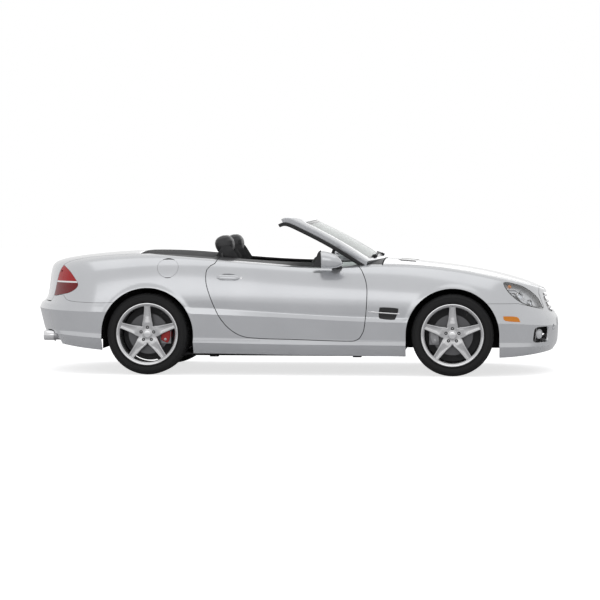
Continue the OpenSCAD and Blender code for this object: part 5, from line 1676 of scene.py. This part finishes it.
channelled(back, [(lambda co: np.abs(co[:, 1]) - 0.135, front_side)]
           + [(lambda co, z=z: co[:, 2] - z, lambda co, n: front_side(co, n) * (np.abs(co[:, 1]) < 0.133))
              for z in (0.56, 0.64, 0.72, 0.80, 0.88)])
rest_path = [(-0.578, 1.004, 0.060, 0.022, math.radians(96)), (-0.580, 1.012, 0.104, 0.050, math.radians(96)),
             (-0.584, 1.036, 0.122, 0.068, math.radians(97)), (-0.590, 1.072, 0.127, 0.078, math.radians(98)),
             (-0.597, 1.106, 0.124, 0.078, math.radians(100)), (-0.604, 1.134, 0.112, 0.064, math.radians(103)),
             (-0.609, 1.150, 0.088, 0.042, math.radians(105)), (-0.611, 1.157, 0.048, 0.012, math.radians(106))]
rest = pad("rest", rest_path, 0.0, 0.005, 0.008)
channelled(rest,
           [(lambda co: co[:, 0] + 0.580 + 0.1 * (co[:, 2] - 1.08),
             lambda co, n: np.clip(1.4 - np.abs(n[:, 0]) * 1.6, 0, 1))], 0.0025)


def seat_frame():
    """The hard back shell, side covers, belt guide, rails and headrest posts."""
    rings = []
    for t in np.linspace(0, 1, 15):
        x, z = -0.510 - 0.098 * t - 0.018 * t * t, 0.400 + 0.615 * t
        wide = (0.232 - 0.032 * t) * min(1.0, 0.86 + 3 * (1 - t))
        rings.append([Vector((x - d + 0.035 * (abs(q) ** 4), wide * q, z)) for q, d in
                      [(-1, 0.0)] + [(q, 0.012 + 0.012 * (1 - q * q)) for q in np.linspace(-1, 1, 15)]
                      + [(1, 0.0)]
                      + [(q, -0.004) for q in np.linspace(0.96, -0.96, 9)]])
    shell_back = loft(rings)
    wing = []
    for sign in (-1, 1):
        wing.append(loft([[Vector((-0.560 + (0.105 - 0.055 * t) * math.cos(a),
                                   sign * (0.150 + 0.024 * math.cos(2 * a) * 0.2) + o,
                                   0.960 + 0.085 * t * 1.0 + (0.040 - 0.010 * t) * math.sin(a)))
                           for a in around(24)] for t, o in ((0.0, 0.0), (0.5, 0.0), (0.9, 0.0), (1.0, 0.0))]))
    posts = [rod((-0.545, y, 0.95), (-0.553, y, 1.06), 0.006, 16) for y in (-0.05, 0.05)]
    rails = [block((-0.48, y - 0.02, 0.192), (-0.02, y + 0.02, 0.235), 0.004) for y in (-0.165, 0.165)]
    base = block((-0.475, -0.222, 0.242), (-0.035, 0.222, 0.330), 0.018, 3)
    sides = [block((-0.50, y - 0.012, 0.262), (-0.10, y + 0.012, 0.352), 0.010, 3) for y in (-0.236, 0.236)]
    return smooth(put("seat_frame", joined((shell_back, 0), *[(q, 0) for q in wing], *[(q, 1) for q in posts],
                                           *[(q, 2) for q in rails], (base, 0), *[(q, 0) for q in sides]),
                      [BLACK, BRIGHT, UNDERSIDE], normals=False), 45)


frame_made = seat_frame()
for side, sign in SIDES:
    place = (0, sign * SEAT_Y, 0)
    for made, name, fill in ((cushion, "seat_cushion", 0.8), (back, "seat_back", 0.8),
                             (rest, "head_restraint", 0.9)):
        piece = put(f"{name}_{side}", moved(copied(made), place), BLACK_LEATHER, normals=False)
        piece.data.shade_smooth()
        fit(piece, "body", "black_leather")
    fit(stamp(frame_made, f"seat_frame_{side}", place), "body", "black_plastic", f"seat_{side}")
drop(cushion, back, rest, frame_made)

# ---- Dashboard, steering wheel, console and mirror ------------------------------------------------
DASH = rounded([(728, 560), (728, 858), (640, 880), (500, 897), (380, 893), (300, 868), (262, 828), (268, 770),
                (292, 720), (282, 650), (330, 560), (430, 524)], 5, (0, 1))
bm = loft([[Vector((px * MM + bend, y, pz * MM - 0.028 * (abs(y) / 0.655) ** 4 * (pz > 700)))
            for px, pz in DASH]
           for y, bend in [(y, 0.03 * (abs(y) / 0.655) ** 4) for y in np.linspace(-0.655, 0.655, 41)]])
hood_rings = []
for x, tall in ((0.262, 0.030), (0.270, 0.040), (0.32, 0.046), (0.40, 0.036), (0.47, 0.014), (0.50, 0.002)):
    hood_rings.append([Vector((x, SEAT_Y + 0.185 * math.cos(a),
                               0.868 + tall * math.sin(a) * (1 if a <= math.pi else 0.3)))
                       for a in around(32)])
cluster = loft(hood_rings)
dials = []
for y, r in ((0.290, 0.046), (0.370, 0.054), (0.450, 0.046)):
    dials.append((turned_to(spun([(0.0, -0.001), (r * 0.86, -0.001), (r * 0.88, -0.006), (r, -0.006),
                                  (r, 0.012), (0.0, 0.012)], 48),
                            Vector((0.262, y, 0.835)), Vector((-1, 0, 0.25))), 1))
vents = []
for y in (-0.56, -0.10, 0.10, 0.58):
    vents.append((turned_to(spun([(0.0, 0.004), (0.026, 0.004), (0.030, -0.006), (0.038, -0.006), (0.041, 0.0),
                                  (0.041, 0.02), (0.0, 0.02)], 40),
                            Vector((0.268 + 0.03 * (abs(y) / 0.655) ** 4, y, 0.800)), Vector((-1, 0, 0.12))),
                  2))
screen = block((0.258, -0.095, 0.655), (0.300, 0.095, 0.755), 0.006)
radio = block((0.262, -0.085, 0.575), (0.330, 0.085, 0.640), 0.005)
strip = block((0.272, -0.62, 0.700), (0.300, -0.13, 0.716), 0.004)
shroud = joined(*[rod(COLUMN_AT + COLUMN_DOWN * a, COLUMN_AT + COLUMN_DOWN * b, r, 32, r2)
                  for a, b, r, r2 in ((0.030, 0.120, 0.038, 0.046), (0.120, 0.240, 0.046, 0.052))])
stalks = joined(rod((0.125, 0.415, 0.765), (0.095, 0.535, 0.790), 0.006, 12),
                rod((0.125, 0.325, 0.765), (0.095, 0.205, 0.790), 0.006, 12))
dash = smooth(put("dash_top", joined((bm, 0), (cluster, 0), *dials, *vents, (screen, 3), (radio, 3), (strip, 2),
                                     (shroud, 4), (stalks, 4)),
                  [BLACK_LEATHER, GRID, STEEL, GLOSS_BLACK, BLACK], normals=False), 40)
fit(dash, "body", "black_plastic", "dashboard")

to_column = Matrix.Translation(COLUMN_AT) @ Matrix.Rotation(COLUMN_LEAN, 4, "Y")


def wheel_rim():
    """The leather rim, four spokes and the centre pad, drawn flat and then leaned onto the column."""
    ring = spun([(0.174 + 0.0150 * math.cos(a), 0.0160 * math.sin(a)) for a in around(20)], 96)
    bmesh.ops.rotate(ring, cent=(0, 0, 0), matrix=Matrix.Rotation(math.radians(90), 3, "X"), verts=ring.verts)
    hub = spun([(0.0, -0.024), (0.030, -0.0235), (0.055, -0.019), (0.066, -0.010), (0.066, 0.010),
                (0.050, 0.018), (0.0, 0.018)], 48)
    bmesh.ops.rotate(hub, cent=(0, 0, 0), matrix=Matrix.Rotation(math.radians(-90), 3, "X"), verts=hub.verts)
    spokes = []
    for turn in (70, 110, 250, 290):
        a = math.radians(turn)
        rings = []
        for r, wide, thick in ((0.050, 0.020, 0.010), (0.085, 0.015, 0.0085), (0.125, 0.012, 0.007),
                               (0.168, 0.014, 0.008)):
            rings.append([Vector((r * math.cos(a) - wide * u * math.sin(a),
                                  r * math.sin(a) + wide * u * math.cos(a), thick * w))
                          for u, w in ((-1, 0), (-0.7, 0.8), (0, 1), (0.7, 0.8), (1, 0), (0.7, -0.8), (0, -1),
                                       (-0.7, -0.8))])
        spokes.append((loft(rings), 1))
    out = joined((ring, 0), (hub, 0), *spokes)
    bmesh.ops.transform(out, matrix=to_column, verts=out.verts)
    return smooth(put("steering_wheel_rim", out, [BLACK_LEATHER, STEEL], normals=False), 50)


fit(wheel_rim(), "steering_wheel_body", "black_leather", "steering_wheel")
tunnel = block((-0.600, -0.104, 0.384), (0.262, 0.104, 0.470), 0.012, 3)
armrest = block((-0.590, -0.096, 0.472), (-0.265, 0.096, 0.556), 0.020, 4)
gate = block((-0.090, -0.060, 0.470), (0.100, 0.060, 0.482), 0.005)
lever = rod((0.0, 0, 0.478), (0.012, 0, 0.536), 0.009, 16)
knob_bm = bmesh.new()
bmesh.ops.create_uvsphere(knob_bm, u_segments=24, v_segments=16, radius=0.022)
bmesh.ops.translate(knob_bm, vec=(0.014, 0, 0.543), verts=knob_bm.verts)
ramp_up = block((0.110, -0.100, 0.470), (0.258, 0.100, 0.515), 0.015, 3)
fit(smooth(put("console", joined((tunnel, 0), (armrest, 1), (gate, 2), (lever, 2), (knob_bm, 1), (ramp_up, 0)),
               [BLACK, BLACK_LEATHER, STEEL], normals=False), 45), "body", "black_plastic", "centre_console")
glass_box = block((0.098, -0.115, 1.150), (0.128, 0.115, 1.212), 0.010, 3)
back_face = block((0.0955, -0.106, 1.157), (0.0975, 0.106, 1.205), 0)
stem = rod((0.126, 0, 1.190), Vector(screen_point(0.86, 0, -9)), 0.007, 12)
foot = rod(Vector(screen_point(0.86, 0, -14)), Vector(screen_point(0.86, 0, -6.2)), 0.018, 24, round_by=0.002)
fit(smooth(put("cabin_mirror", joined((glass_box, 0), (back_face, 1), (stem, 0), (foot, 0)), [BLACK, MIRROR],
               normals=False), 45), "body",
    "black_plastic", "interior_mirror")

# ---- Finishes of the pieces that keep their own shape ---------------------------------------------
CARPET = grained_black("carpet", (0.018, 0.018, 0.019), 0.95, 900.0, 0.8)
KEPT = {"floor_pan": CARPET, "engine": DARK_CAST, "front_subframe": UNDERSIDE, "rear_subframe": UNDERSIDE,
        "rear_hub_carriers": DARK_CAST, "front_knuckle_left": DARK_CAST, "front_knuckle_right": DARK_CAST}
for node, material in KEPT.items():
    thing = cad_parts[node]
    for place in thing.material_slots:
        place.link = "OBJECT"
        place.material = material

# Trim on both sides of the boot.
for side, sign in SIDES:
    low, high = sorted((sign * 0.596, sign * 0.600))
    fit(smooth(put(f"boot_side_{side}", block((-1.960, low, 0.470), (-1.270, high, 0.865), 0.001, 1), CARPET),
               40), "body", "black_plastic")

drop(skin_source, shell)
